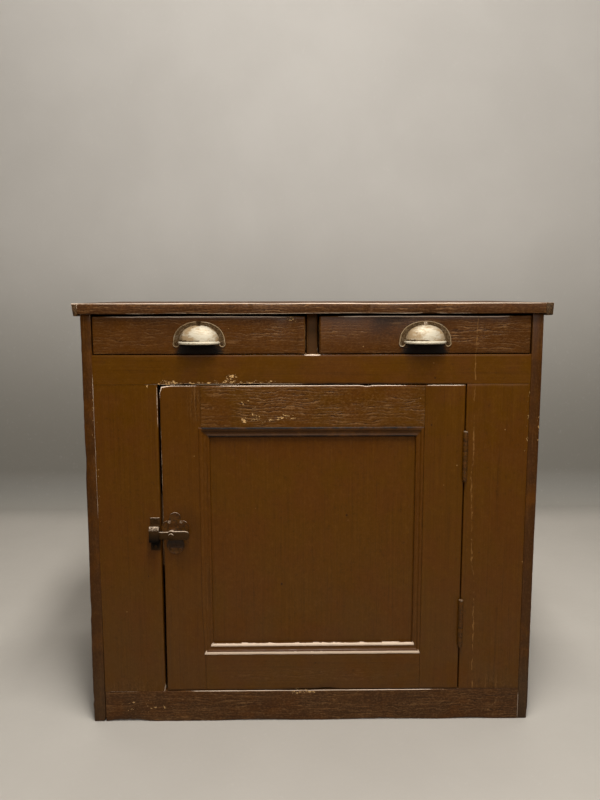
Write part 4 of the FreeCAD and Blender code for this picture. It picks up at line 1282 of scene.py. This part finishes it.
# The moulding's section, from the frame inwards to the panel and out from its back.
MOULDING_PROFILE = (
    (1.0, 0.0),
    (1.0, 0.55),
    (0.96, 0.7),
    (0.9, 0.77),
    (0.8, 0.75),
    (0.7, 0.68),
    (0.55, 0.66),
    (0.46, 0.72),
    (0.37, 0.9),
    (0.28, 0.99),
    (0.15, 1.0),
    (0.05, 0.92),
    (0.0, 0.78),
)


class Tree(Nodes):
    """A geometry node tree with named inputs."""

    def __init__(self, name, inputs):
        self.tree = bpy.data.node_groups.new(name, "GeometryNodeTree")
        self.keys = {}
        self.socket("Geometry", "INPUT", "Geometry")
        for label, (kind, value) in inputs.items():
            socket = self.socket(label, "INPUT", kind)
            if value is not None:
                socket.default_value = value
            self.keys[label] = socket.identifier
        self.socket("Geometry", "OUTPUT", "Geometry")
        self.source = self.node("NodeGroupInput")

    def socket(self, label, way, kind):
        """A new input or output of the whole tree."""
        return self.tree.interface.new_socket(label, in_out=way, socket_type="NodeSocket" + kind)

    def given(self, label):
        """One of the tree's own inputs."""
        return self.source.outputs[label]

    def point(self, x=0.0, y=0.0, z=0.0):
        """A vector from its three numbers."""
        return self.result("ShaderNodeCombineXYZ", {0: x, 1: y, 2: z})

    def stored(self, geometry, name, value):
        """The geometry with a vector stored on its points."""
        inputs = {"Geometry": geometry, "Name": name, "Value": value}
        return self.result("GeometryNodeStoreNamedAttribute", inputs, data_type="FLOAT_VECTOR")

    def named(self, name):
        """A vector that is stored on the points."""
        inputs = {"Name": name}
        return self.result("GeometryNodeInputNamedAttribute", inputs, data_type="FLOAT_VECTOR")

    def moved(self, geometry, **how):
        """The geometry moved, turned or scaled."""
        return self.result("GeometryNodeTransform", {"Geometry": geometry, **how})

    def join(self, parts):
        """Several geometries as one."""
        joined = self.node("GeometryNodeJoinGeometry")
        for part in parts:
            self.feed(joined.inputs[0], part)
        return joined.outputs[0]

    def finish(self, geometry):
        """Ends the tree: instances made real, and the material set."""
        real = self.result("GeometryNodeRealizeInstances", {"Geometry": geometry})
        inputs = {"Geometry": real, "Material": self.given("Material")}
        self.node("NodeGroupOutput", {0: self.result("GeometryNodeSetMaterial", inputs)})

    def grow(self, name, mesh, values):
        """Runs the tree on a mesh with these inputs, and gives the result as a plain mesh."""
        holder = linked(name + "_seed", mesh)
        modifier = holder.modifiers.new("Grow", "NODES")
        modifier.node_group = self.tree
        for label, value in values.items():
            modifier[self.keys[label]] = value
        holder.update_tag()
        grown = plain_mesh(holder)
        grown.name = name
        return grown


def outward(mesh, merge=1e-6):
    """Merges doubles and turns every face outwards."""
    solid = bmesh.new()
    solid.from_mesh(mesh)
    bmesh.ops.remove_doubles(solid, verts=solid.verts, dist=merge)
    bmesh.ops.recalc_face_normals(solid, faces=solid.faces)
    solid.to_mesh(mesh)
    solid.free()
    return mesh


def between(a, b, c, d, share):
    """A smooth value from b to c, whose neighbours are a and d."""
    bend = 2 * a - 5 * b + 4 * c - d
    twist = 3 * b - a - 3 * c + d
    return 0.5 * (2 * b + (c - a) * share + bend * share * share + twist * share**3)


def smooth_profile(points, steps):
    """A smooth line through points, with steps between one and the next."""
    line = []
    for index in range(len(points) - 1):
        before = points[max(index - 1, 0)]
        start = points[index]
        end = points[index + 1]
        after = points[min(index + 2, len(points) - 1)]
        for step in range(steps):
            share = step / steps
            line.append(tuple(between(*four, share) for four in zip(before, start, end, after)))
    line.append(points[-1])
    return line


def moulding_tree():
    """Sweeps a section along a bar with mitred ends, and sets four bars round a panel."""
    tree = Tree(
        "Mitred mouldings",
        {
            "Width": ("Float", 0.45),
            "Height": ("Float", 0.48),
            "Steps": ("Int", 90),
            "Waver": ("Float", 0.0004),
            "Material": ("Material", None),
        },
    )
    place = tree.result("GeometryNodeInputPosition")
    section = tree.result("GeometryNodeMeshToCurve", {0: tree.given("Geometry")})
    section = tree.stored(section, "section", place)
    bars = []
    for label, opposite, turns in (("Width", "Height", (0, 180)), ("Height", "Width", (90, 270))):
        length = tree.given(label)
        half = tree.math("MULTIPLY", length, 0.5)
        ends = {"Start": tree.point(tree.math("MULTIPLY", half, -1.0)), "End": tree.point(half)}
        line = tree.result("GeometryNodeCurvePrimitiveLine", ends)
        line = tree.result("GeometryNodeResampleCurve", {"Curve": line, "Count": tree.given("Steps")})
        swept = {"Curve": tree.stored(line, "along", place), "Profile Curve": section, "Fill Caps": True}
        bar = tree.result("GeometryNodeCurveToMesh", swept)
        run = tree.result("ShaderNodeSeparateXYZ", {0: tree.named("along")})
        across, out, _ = tree.node("ShaderNodeSeparateXYZ", {0: tree.named("section")}).outputs[:]
        # A mitre: the further a point is from the bar's outer edge, the shorter its run.
        cut = tree.math("DIVIDE", tree.math("MULTIPLY", across, 2.0), length)
        run_left = tree.math("MULTIPLY", run, tree.math("SUBTRACT", 1.0, cut))
        rise = tree.math("SUBTRACT", across, tree.math("MULTIPLY", tree.given(opposite), 0.5))
        spot = {"Geometry": bar, "Position": tree.point(run_left, rise, out)}
        bar = tree.result("GeometryNodeSetPosition", spot)
        for turn in turns:
            # Each bar has its own grain, so its place in the wood is moved along and inwards.
            along = tree.math("ADD", run, turn * 0.031)
            grain = tree.point(along, across, tree.math("ADD", out, turn * 0.003))
            one = tree.stored(bar, "grain", grain)
            bars.append(tree.moved(one, Rotation=Euler((0.0, 0.0, math.radians(turn)))))
    cloud = {"Vector": place, "Scale": 55.0, "Detail": 3.0}
    cloud = tree.node("ShaderNodeTexNoise", cloud, noise_dimensions="3D").outputs["Color"]
    centred = tree.vector("SUBTRACT", {0: cloud, 1: (0.5, 0.5, 0.5)})
    shove = tree.vector("SCALE", {0: centred, "Scale": tree.given("Waver")})
    wavering = {"Geometry": tree.join(bars), "Offset": shove}
    tree.finish(tree.result("GeometryNodeSetPosition", wavering))
    return tree


def profile_mesh(name, points):
    """A closed line of edges through points in the plane."""
    mesh = bpy.data.meshes.new(name)
    count = len(points)
    edges = [(i, (i + 1) % count) for i in range(count)]
    mesh.from_pydata([(u, v, 0.0) for u, v in points], edges, [])
    return mesh


class MakeMouldings(bpy.types.Operator):
    """Make the four mitred mouldings round the door's panel"""

    bl_idname = "cupboard.make_mouldings"
    bl_label = "Panel mouldings"

    def execute(self, context):
        nodes = ["door_moulding_" + word for word in ("bottom", "top", "left", "right")]
        boxes = [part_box(node) for node in nodes]
        low, high = corners([corner for box in boxes for corner in box])
        bottom_low, bottom_high = boxes[0]
        back = bottom_high.y
        width = bottom_high.z - bottom_low.z
        depth = back - bottom_low.y
        face = smooth_profile(MOULDING_PROFILE, 4)
        outline = [(u * width, v * depth) for u, v in face] + [(0.0, 0.0)]
        mesh = moulding_tree().grow(
            "door_mouldings",
            profile_mesh("moulding_section", outline),
            {
                "Width": high.x - low.x,
                "Height": high.z - low.z,
                "Steps": 90,
                "Waver": 0.7 * MM,
                "Material": finish("brown_paint"),
            },
        )
        middle = (low + high) / 2
        stand = Matrix(((1, 0, 0, middle.x), (0, 0, -1, back), (0, 1, 0, middle.z), (0, 0, 0, 1)))
        mesh.transform(stand)
        outward(mesh)
        mesh.update()
        wear = []
        marks = []
        for point in mesh.vertices:
            out = back - point.co.y
            # How many widths the point is inside the top, the nearer side and the bottom.
            above = (high.z - point.co.z) / width
            beside = min(point.co.x - low.x, high.x - point.co.x) / width
            below = (point.co.z - low.z) / width
            if below < min(1.001, beside + 0.05):
                # The bottom bar: rubbed to the wood on its outer bead and its inner crest, which face up to
                # the light, so the pale there is also a painted highlight.
                proud = below > 0.76 and out > 1.6 * MM
                wear.append((1.0 if below < 0.3 or proud else 0.0, 0.0, 0.0))
                marks.append((0.0, 0.0, 1.0 if below < 0.76 else 1.9 if proud else -1.0))
            elif above < min(1.0, beside):
                # The top bar: darkened as painted shade.
                wear.append((0.0, 0.05, 0.0))
                marks.append((0.0, 0.55 if 0.2 < above < 0.85 else 1.0, 0.0))
            else:
                # The side bars: a little rubbed on their crests.
                wear.append((0.55 if out > 0.6 * depth else 0.0, 0.05, 0.1))
                marks.append((0.0, 0.0, 0.3))
        self.lap(mesh, low, high, width)
        store(mesh, "wear", wear)
        store(mesh, "marks", marks)
        store(mesh, "tone", [(0.35, 0.0, 0.0)] * len(mesh.vertices))
        piece("door_mouldings", mesh, nodes, "brown_paint")
        return {"FINISHED"}

    def lap(self, mesh, low, high, width):
        """Widens the left and top mouldings over the door's frame, the bottom one over its panel."""
        for point in mesh.vertices:
            rise = (point.co.z - low.z) / width
            left = max(0.0, 1.0 - (point.co.x - low.x) / width) * min(1.0, 0.35 + 0.1 * rise)
            top = max(0.0, 1.0 - (high.z - point.co.z) / width)
            inner = max(0.0, min(rise, 1.0 - (rise - 1.0) / 4.0))
            point.co.x -= 6.0 * MM * left
            point.co.z += (4.0 * top + 7.0 * inner) * MM


# ---- screws and nails ---------------------------------------------------------------------


def head_tree():
    """Sets a head with a slot, a shank and a slight dome on every point, facing outwards."""
    tree = Tree(
        "Screws and nails",
        {
            "Head Radius": ("Float", 0.004),
            "Head Depth": ("Float", 0.0025),
            "Dome": ("Float", 0.0006),
            "Slot": ("Float", 0.0009),
            "Shank Radius": ("Float", 0.002),
            "Length": ("Float", 0.02),
            "Seed": ("Int", 7),
            "Material": ("Material", None),
        },
    )
    radius, depth, dome, slot, thin, length = (
        tree.given(label)
        for label in ("Head Radius", "Head Depth", "Dome", "Slot", "Shank Radius", "Length")
    )
    cone = {"Vertices": 24, "Radius Top": radius, "Radius Bottom": thin, "Depth": depth}
    sunk = tree.point(z=tree.math("MULTIPLY", depth, -1.0))
    head = tree.moved(tree.result("GeometryNodeMeshCone", cone), Translation=sunk)
    rod = {"Vertices": 12, "Radius": thin, "Depth": length}
    down = tree.math("MULTIPLY", tree.math("ADD", length, 0.0004), -0.5)
    shank = tree.moved(tree.result("GeometryNodeMeshCylinder", rod), Translation=tree.point(z=down))
    ball = tree.result("GeometryNodeMeshUVSphere", {"Segments": 24, "Rings": 10, "Radius": 1.0})
    girth = tree.math("MULTIPLY", radius, 0.97)
    ball = tree.moved(ball, Scale=tree.point(girth, girth, dome))
    whole = {"Mesh 2": tree.join([head, shank, ball])}
    body = tree.result("GeometryNodeMeshBoolean", whole, operation="UNION")
    groove = tree.point(0.05, slot, tree.math("MULTIPLY", slot, 2.2))
    blade = tree.result("GeometryNodeMeshCube", {"Size": groove})
    blade = tree.moved(blade, Translation=tree.point(z=dome))
    cut = {"Mesh 1": body, "Mesh 2": blade}
    slotted = tree.result("GeometryNodeMeshBoolean", cut, operation="DIFFERENCE")
    facing = {"Vector": tree.named("facing")}
    turned = tree.result("FunctionNodeAlignRotationToVector", facing, axis="Z")
    angles = {2: 0.0, 3: math.pi, "Seed": tree.given("Seed")}
    spin = tree.node("FunctionNodeRandomValue", angles, data_type="FLOAT").outputs[1]
    twist = {"Axis": (0.0, 0.0, 1.0), "Angle": spin}
    twist = tree.result("FunctionNodeAxisAngleToRotation", twist)
    both = {0: turned, 1: twist}
    rotation = tree.result("FunctionNodeRotateRotation", both, rotation_space="LOCAL")
    points = tree.result("GeometryNodeMeshToPoints", {0: tree.given("Geometry")})
    heads = {"Points": points, "Instance": slotted, "Rotation": rotation}
    tree.finish(tree.result("GeometryNodeInstanceOnPoints", heads))
    return tree


def head_points(node, way):
    """Each loose solid of a node: its head's middle, which way that faces, length and radius."""
    mesh = frame["nodes"][node].data.copy()
    outward(mesh, 1e-5)
    axis = max(range(3), key=lambda i: abs(way[i]))
    found = []
    for solid in separate_boards(mesh):
        low, high = corners([mesh.vertices[index].co for index in solid])
        size = [high[i] - low[i] for i in range(3)]
        middle = (low + high) / 2
        middle[axis] = high[axis] if way[axis] > 0 else low[axis]
        radius = max(size[(axis + 1) % 3], size[(axis + 2) % 3]) / 2
        found.append((middle, Vector(way), size[axis], radius))
    bpy.data.meshes.remove(mesh)
    return found


# Which way each node's heads face, their material, and the level above which they are bright.
FASTENERS = {
    "hinge_case_screws": ((-1, 0, 0), "dull_steel", 0),
    "hinge_door_screws": ((1, 0, 0), "dull_steel", 0),
    "keeper_screws": ((0, -1, 0), "old_iron", 900),
    "latch_plate_screws": ((0, -1, 0), "painted_iron", 410),
    "drawer_left_pull_screws": ((0, -1, 0), "old_iron", 900),
    "drawer_right_pull_screws": ((0, -1, 0), "old_iron", 820),
}

# The width of the slot in a head, and the shank's radius as a share of the head's.
SCREW = (0.0011, 0.5)
NAIL = (0.00001, 0.47)
NAIL_SEED = 20


class MakeFasteners(bpy.types.Operator):
    """Make every screw and the battens' nails"""

    bl_idname = "cupboard.make_fasteners"
    bl_label = "Screws and nails"

    def execute(self, context):
        tree = head_tree()
        for seed, (node, (way, material, bright)) in enumerate(FASTENERS.items()):
            self.grow(tree, node, head_points(node, way), SCREW, seed, material, bright)
        heads = []
        for middle, facing, length, radius in head_points("batten_nails", (1, 0, 0)):
            if middle.x < 0:
                middle = middle - facing * length
                facing = -facing
            heads.append((middle, facing, length, radius))
        self.grow(tree, "batten_nails", heads, NAIL, NAIL_SEED, "dull_steel", 0)
        return {"FINISHED"}

    def grow(self, tree, node, heads, sort, seed, material, bright):
        """One mesh of all the heads in a node."""
        slot, thin = sort
        _, _, length, radius = heads[0]
        dome = 0.12 * radius
        seeds = bpy.data.meshes.new(node + "_points")
        seeds.from_pydata([middle - facing * 1.05 * dome for middle, facing, _, _ in heads], [], [])
        store(seeds, "facing", [facing for _, facing, _, _ in heads])
        mesh = tree.grow(
            node + "_heads",
            seeds,
            {
                "Head Radius": radius,
                "Head Depth": 0.55 * radius,
                "Dome": dome,
                "Slot": slot,
                "Shank Radius": radius * thin,
                "Length": length - dome,
                "Seed": seed,
                "Material": finish(material),
            },
        )
        outward(mesh)
        store(mesh, "wear", [(0.0, 0.8 * (point.co.z > bright * MM), 0.0) for point in mesh.vertices])
        piece(node + "_heads", mesh, [node], material)


# ---- hinges and latch ---------------------------------------------------------------------


class MakeHinges(bpy.types.Operator):
    """Make the hinges' leaves and pins"""

    bl_idname = "cupboard.make_hinges"
    bl_label = "Hinges"

    def execute(self, context):
        for level in ("upper", "lower"):
            for side in ("case", "door"):
                node = f"hinge_{level}_{side}_leaf"
                worn_fitting("worn_" + node, [node], "painted_iron", 0.4 * MM, 0.15 * MM)
        made = worn_fitting("worn_hinge_pins", ["hinge_pins"], "painted_iron", 0.8 * MM, 0.1 * MM)
        tops = [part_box(f"hinge_{level}_case_leaf")[1].z for level in ("upper", "lower")]
        wear = made.data.attributes["wear"]
        for index, point in enumerate(made.data.vertices):
            # A pin's head stands within 20 mm above its leaf.
            head = any(0 < point.co.z - top < 20 * MM for top in tops)
            wear.data[index].vector = (0.6, 0.48 if head else 0.0, 0.0)
        return {"FINISHED"}


class MakeLatch(bpy.types.Operator):
    """Make the latch's plate, lever, pivot and keeper"""

    bl_idname = "cupboard.make_latch"
    bl_label = "Latch"

    def execute(self, context):
        self.fitting("plate", "painted_iron", 0.6, 0.1, 0.8, rim=1.5 * MM)
        self.fitting("lever", "old_iron", 1.0, 0.2, 0.65)
        self.fitting("pivot", "old_iron", 0.8, 0.1, 1.3)
        self.fitting("keeper", "old_iron", 0.9, 0.25, 0.7)
        low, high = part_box("latch_lever")
        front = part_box("latch_keeper")[0].y
        for name in ("worn_latch_plate", "worn_latch_keeper"):
            mesh = bpy.data.objects[name].data
            wear = mesh.attributes["wear"]
            for index, point in enumerate(mesh.vertices):
                edge, bare, _ = wear.data[index].vector
                # Painted shadow: the plate and the keeper darken behind and below the lever, fading out
                # above and below that band.
                shade = min(1.0, max(0.0, (high.z - 8 * MM - point.co.z) / (4 * MM)))
                shade *= min(1.0, max(0.0, (point.co.z - low.z + 24 * MM) / (8 * MM)))
                if name == "worn_latch_plate":
                    shade *= 0.8
                elif point.co.y > front + 9 * MM and point.co.z < high.z + 16 * MM:
                    # The keeper's foot gets no painted highlight.
                    bare = 0.0
                wear.data[index].vector = (edge, bare, shade)
        return {"FINISHED"}

    def fitting(self, word, material, radius, roughness, polish_and_highlight, rim=0.0):
        """One part of the latch; the radius of its edges and its roughness are in mm."""
        name = "latch_" + word
        sizes = (radius * MM, roughness * MM)
        worn_fitting("worn_" + name, [name], material, *sizes, rim=rim, polish_and_highlight=polish_and_highlight)


# ---- pulls --------------------------------------------------------------------------------


def plate_outline(width, height, ear):
    """A low arch with round ears at its two lower corners, from right to left over the top."""
    half = width / 2
    points = []
    for step in range(-40, 7):
        angle = math.radians(step * 5)
        points.append((half - ear + ear * math.cos(angle), ear + ear * math.sin(angle)))
    mirrored = [(-u, v) for u, v in points]
    reach, rise = points[-1]
    arch = 60
    for step in range(1, arch):
        angle = math.pi * step / arch
        swell = math.copysign(abs(math.cos(angle)) ** 0.92, math.cos(angle))
        points.append((reach * swell, rise + (height - rise) * math.sin(angle) ** 0.9))
    return points + mirrored[::-1]


# Steps inwards across a plate's border: shares of its width and of its rise.
BORDER_STEPS = ((0.25, 0.6), (0.25, 0.4), (0.3, 0.0), (0.3, -0.45), (0.4, -0.55))


def raised_plate(solid, points, sizes):
    """A plate with a rounded raised border, its back on the plane y = 0."""
    face = solid.faces.new([solid.verts.new((u, 0.0, v)) for u, v in points])
    grown = bmesh.ops.extrude_face_region(solid, geom=[face])["geom"]
    front = [item for item in grown if isinstance(item, bmesh.types.BMFace)]
    moved = [item for item in grown if isinstance(item, bmesh.types.BMVert)]
    bmesh.ops.translate(solid, verts=moved, vec=(0.0, -sizes.plate_thickness, 0.0))
    for share, rise in BORDER_STEPS:
        inset(solid, front, sizes.border * share, -sizes.border_rise * rise)


def cup_shell(solid, sizes, projection, base, foot):
    """The pull's cup: a quarter of a flattened ball, open below. Returns its open edge."""
    around = 56
    down = 18
    half = sizes.cup_width / 2
    layers = {0.0: [], sizes.wall: []}
    for row in range(down + 1):
        share = 1.0 - (1.0 - row / down) ** 1.5
        lean = math.radians(90 * share)
        # Where it meets the plate, the cup flares by 3%.
        flare = 1 + 0.03 * math.exp(-share / 0.05)
        for wall, rows in layers.items():
            reach = (half - wall) * flare
            tall = (sizes.cup_height - wall) * flare
            deep = projection - wall
            line = []
            for step in range(around + 1):
                angle = math.pi * step / around
                full = math.sin(angle) ** 0.86
                side = math.copysign(abs(math.cos(angle)) ** 0.96, math.cos(angle))
                z = foot + tall * full * math.cos(lean) ** 0.9
                y = base - (deep * math.sin(lean) ** 0.82) * full
                line.append(solid.verts.new((reach * side, y, z)))
            rows.append(line)
    outer, inner = layers.values()
    for row in range(down):
        for step in range(around):
            a, b = outer[row], outer[row + 1]
            solid.faces.new((a[step], a[step + 1], b[step + 1], b[step]))
            a, b = inner[row], inner[row + 1]
            solid.faces.new((a[step], b[step], b[step + 1], a[step + 1]))
    for step in range(around):
        a, b = outer[0], inner[0]
        solid.faces.new((a[step], b[step], b[step + 1], a[step + 1]))
        a, b = outer[-1], inner[-1]
        solid.faces.new((a[step], a[step + 1], b[step + 1], b[step]))
    return outer[-1]


def tube(solid, points, radius, sides=10):
    """A round bead along a line of points."""
    rings = []
    for index, point in enumerate(points):
        before = points[max(index - 1, 0)]
        after = points[min(index + 1, len(points) - 1)]
        way = (after - before).normalized()
        up = Vector((0, 0, 1))
        if abs(way.z) > 0.95:
            up = Vector((0, 1, 0))
        side = way.cross(up).normalized()
        up = side.cross(way)
        ring = []
        for step in range(sides):
            angle = 2 * math.pi * step / sides
            aside = side * radius * math.cos(angle)
            ring.append(solid.verts.new(point + aside + up * radius * math.sin(angle)))
        rings.append(ring)
    for first, second in zip(rings, rings[1:]):
        for step in range(sides):
            after = (step + 1) % sides
            solid.faces.new((first[step], first[after], second[after], second[step]))
    solid.faces.new(rings[0][::-1])
    solid.faces.new(rings[-1])


def pull_wear(out, up, across, left):
    """How tarnished a pull is at a point, and how bright, which is a painted highlight.

    Out is how far the point stands from the drawer, up how far above the cup's lip and across how
    far right of the pull's middle, in mm. The left pull has a dark ear and a notch of its own.
    """
    # Painted highlight: the dome stays bright nickel round a spot right of the pull's middle and up its
    # face, where the light falls.
    beside = (across - (10 if left else 2)) / 24
    bright = max(0.0, 1.0 - 0.5 * (beside * beside + ((up - 17) / 15) ** 2))
    if out < 1.9:
        # the plate behind its border
        tarnished = 0.84
    elif out < 2.5:
        # the border
        tarnished = 0.45 if up < 1.0 else 0.15
    else:
        # the cup, from its foot outwards
        tarnished = max(0.0, 0.55 - 0.16 * (out - 2.5))
    if left and across < -30:
        tarnished = max(tarnished, 0.6)
    if out > 6.0 and 2.9 < up < 5.6:
        # the groove above the lip
        tarnished = 1.15 if across < 4 else 0.5
    if out > 4.0 and abs(up) < 2.9:
        # the lip: untarnished, with the brightest painted highlight
        tarnished = 0.0
        bright = 1.2
    if left and abs(across) < 4 and up > 33.0 and out < 6.0:
        tarnished = 1.1
    return tarnished, bright, 0.0


class MakePulls(bpy.types.Operator):
    """Make the two cup pulls"""

    bl_idname = "cupboard.make_pulls"
    bl_label = "Cup pulls"

    def execute(self, context):
        for side in ("left", "right"):
            self.make(side, context.scene.cupboard.pull)
        return {"FINISHED"}

    def make(self, side, sizes):
        """One pull in its node's box: the plate, the cup and the bead along its lip."""
        node = f"drawer_{side}_pull"
        low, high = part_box(node)
        size = high - low
        bead = sizes.bead
        solid = bmesh.new()
        raised_plate(solid, plate_outline(size.x, size.z, sizes.ear_radius), sizes)
        projection = size.y - sizes.plate_thickness - bead
        rim = cup_shell(solid, sizes, projection, -sizes.plate_thickness * 0.6, sizes.foot)
        spread = (sizes.lip_width - 2 * bead) / sizes.cup_width
        line = [Vector((p.co.x * spread, p.co.y - bead * 0.2, p.co.z)) for p in rim]
        tube(solid, line, bead)
        bmesh.ops.recalc_face_normals(solid, faces=solid.faces)
        mesh = bpy.data.meshes.new("cup_pull_" + side)
        solid.to_mesh(mesh)
        solid.free()
        centre = (low.x + high.x) / 2
        mesh.transform(Matrix.Translation((centre, high.y, low.z)))
        wear = []
        for point in mesh.vertices:
            out = (high.y - point.co.y) / MM
            up = (point.co.z - low.z - sizes.foot) / MM
            wear.append(pull_wear(out, up, (point.co.x - centre) / MM, side == "left"))
        store(mesh, "wear", wear)
        piece("cup_pull_" + side, mesh, [node], "plated_brass")


# ---- stage --------------------------------------------------------------------------------


def lamp(name, place, aim, size, power):
    """A soft square lamp that faces a point."""
    light = bpy.data.lights.new(name, "AREA")
    light.shape = "RECTANGLE"
    light.size, light.size_y = size
    light.energy = power
    holder = linked(name, light)
    holder.location = place
    holder.rotation_euler = (Vector(aim) - Vector(place)).to_track_quat("-Z", "Y").to_euler()


def cove(material):
    """A floor that sweeps up into a wall behind the cupboard, as one mesh."""
    start, radius, steps = 1.38, 0.14, 16
    half_width, front, top = 6.0, -6.0, 5.0
    line = [(front, 0.0), (start, 0.0)]
    for step in range(1, steps + 1):
        angle = math.radians(90 * step / steps)
        line.append((start + radius * math.sin(angle), radius - radius * math.cos(angle)))
    line.append((start + radius, top))
    points = [(x, y, z) for y, z in line for x in (-half_width, half_width)]
    faces = [(2 * i, 2 * i + 1, 2 * i + 3, 2 * i + 2) for i in range(len(line) - 1)]
    mesh = bpy.data.meshes.new("floor_and_wall")
    mesh.from_pydata(points, [], faces)
    mesh.materials.append(material)
    for face in mesh.polygons:
        face.use_smooth = True
    linked("floor_and_wall", mesh)


# The camera's place, its angles to the right, downwards and about its own line of sight, and
# the length of its sensor in mm.
CAMERA_PLACE = (-0.0413, -1.6965, 0.8914)
YAW, PITCH, ROLL = 0.01123, 0.13848, -0.00203
SENSOR = 36.0


def aim_camera(stage):
    """The camera: a little left of the middle, just above the top, tipped slightly down."""
    camera = bpy.data.cameras.new("Camera")
    camera.lens = stage.lens
    camera.sensor_width = SENSOR
    holder = linked("Camera", camera)
    level = Vector((math.sin(YAW), math.cos(YAW), 0.0)) * math.cos(PITCH)
    ahead = level - Vector((0.0, 0.0, math.sin(PITCH)))
    right = Vector((math.cos(YAW), -math.sin(YAW), 0.0))
    up = right.cross(ahead)
    level_right = right * math.cos(ROLL) + up * math.sin(ROLL)
    level_up = up * math.cos(ROLL) - right * math.sin(ROLL)
    turned = Matrix((level_right, level_up, -ahead)).transposed()
    holder.matrix_world = Matrix.Translation(CAMERA_PLACE) @ turned.to_4x4()
    bpy.context.scene.camera = holder


# Each lamp's place, the point that it faces and its size; its power is a setting.
LAMPS = {
    "overhead": ((0.11, -1.1, 2.6), (0.12, -0.45, 0.2), (0.3, 1.4)),
    "front": ((0.4, -3.2, 1.95), (0.0, 0.0, 0.4), (2.4, 1.0)),
    "wall": ((0.25, 0.7, 3.0), (0.25, 1.2, 0.0), (4.4, 0.8)),
}
AIR_COLOUR = (1.0, 0.98, 0.95, 1.0)


class MakeStage(bpy.types.Operator):
    """Make the floor and wall, the lamps and the camera"""

    bl_idname = "cupboard.make_stage"
    bl_label = "Floor, lamps and camera"

    def execute(self, context):
        stage = context.scene.cupboard.stage
        cove(finish("studio_backdrop"))
        for name, (place, aim, size) in LAMPS.items():
            lamp(name.capitalize() + " lamp", place, aim, size, getattr(stage, name))
        world = bpy.data.worlds.new("Studio air")
        world.use_nodes = True
        background = world.node_tree.nodes["Background"]
        background.inputs["Color"].default_value = AIR_COLOUR
        background.inputs["Strength"].default_value = stage.air
        context.scene.world = world
        context.scene.view_settings.view_transform = "Standard"
        aim_camera(stage)
        return {"FINISHED"}


# ---- panel and running --------------------------------------------------------------------

STEPS = (
    MakeCase,
    MakeTop,
    MakeInside,
    MakeDoor,
    MakeMouldings,
    MakeDrawers,
    MakePulls,
    MakeHinges,
    MakeLatch,
    MakeFasteners,
    MakeStage,
)


class CupboardPanel(bpy.types.Panel):
    """Lists the steps that dress the cupboard"""

    bl_idname = "VIEW3D_PT_cupboard"
    bl_label = "Cupboard"
    bl_space_type = "VIEW_3D"
    bl_region_type = "UI"
    bl_category = "Cupboard"

    def draw(self, context):
        for step in STEPS:
            self.layout.operator(step.bl_idname)


GROUPS = (PaintColours, MetalColours, WearSizes, PullSizes, StageSettings, CupboardSettings)


def register():
    """Registers the settings, the steps and the panel."""
    for kind in (*GROUPS, *STEPS, CupboardPanel):
        bpy.utils.register_class(kind)
    bpy.types.Scene.cupboard = PointerProperty(type=CupboardSettings)


def unregister():
    """Takes them away again."""
    del bpy.types.Scene.cupboard
    for kind in reversed((*GROUPS, *STEPS, CupboardPanel)):
        bpy.utils.unregister_class(kind)


def main():
    """Dresses the whole cupboard."""
    register()
    for step in STEPS:
        category, name = step.bl_idname.split(".")
        getattr(getattr(bpy.ops, category), name)()


if __name__ == "__main__":
    main()
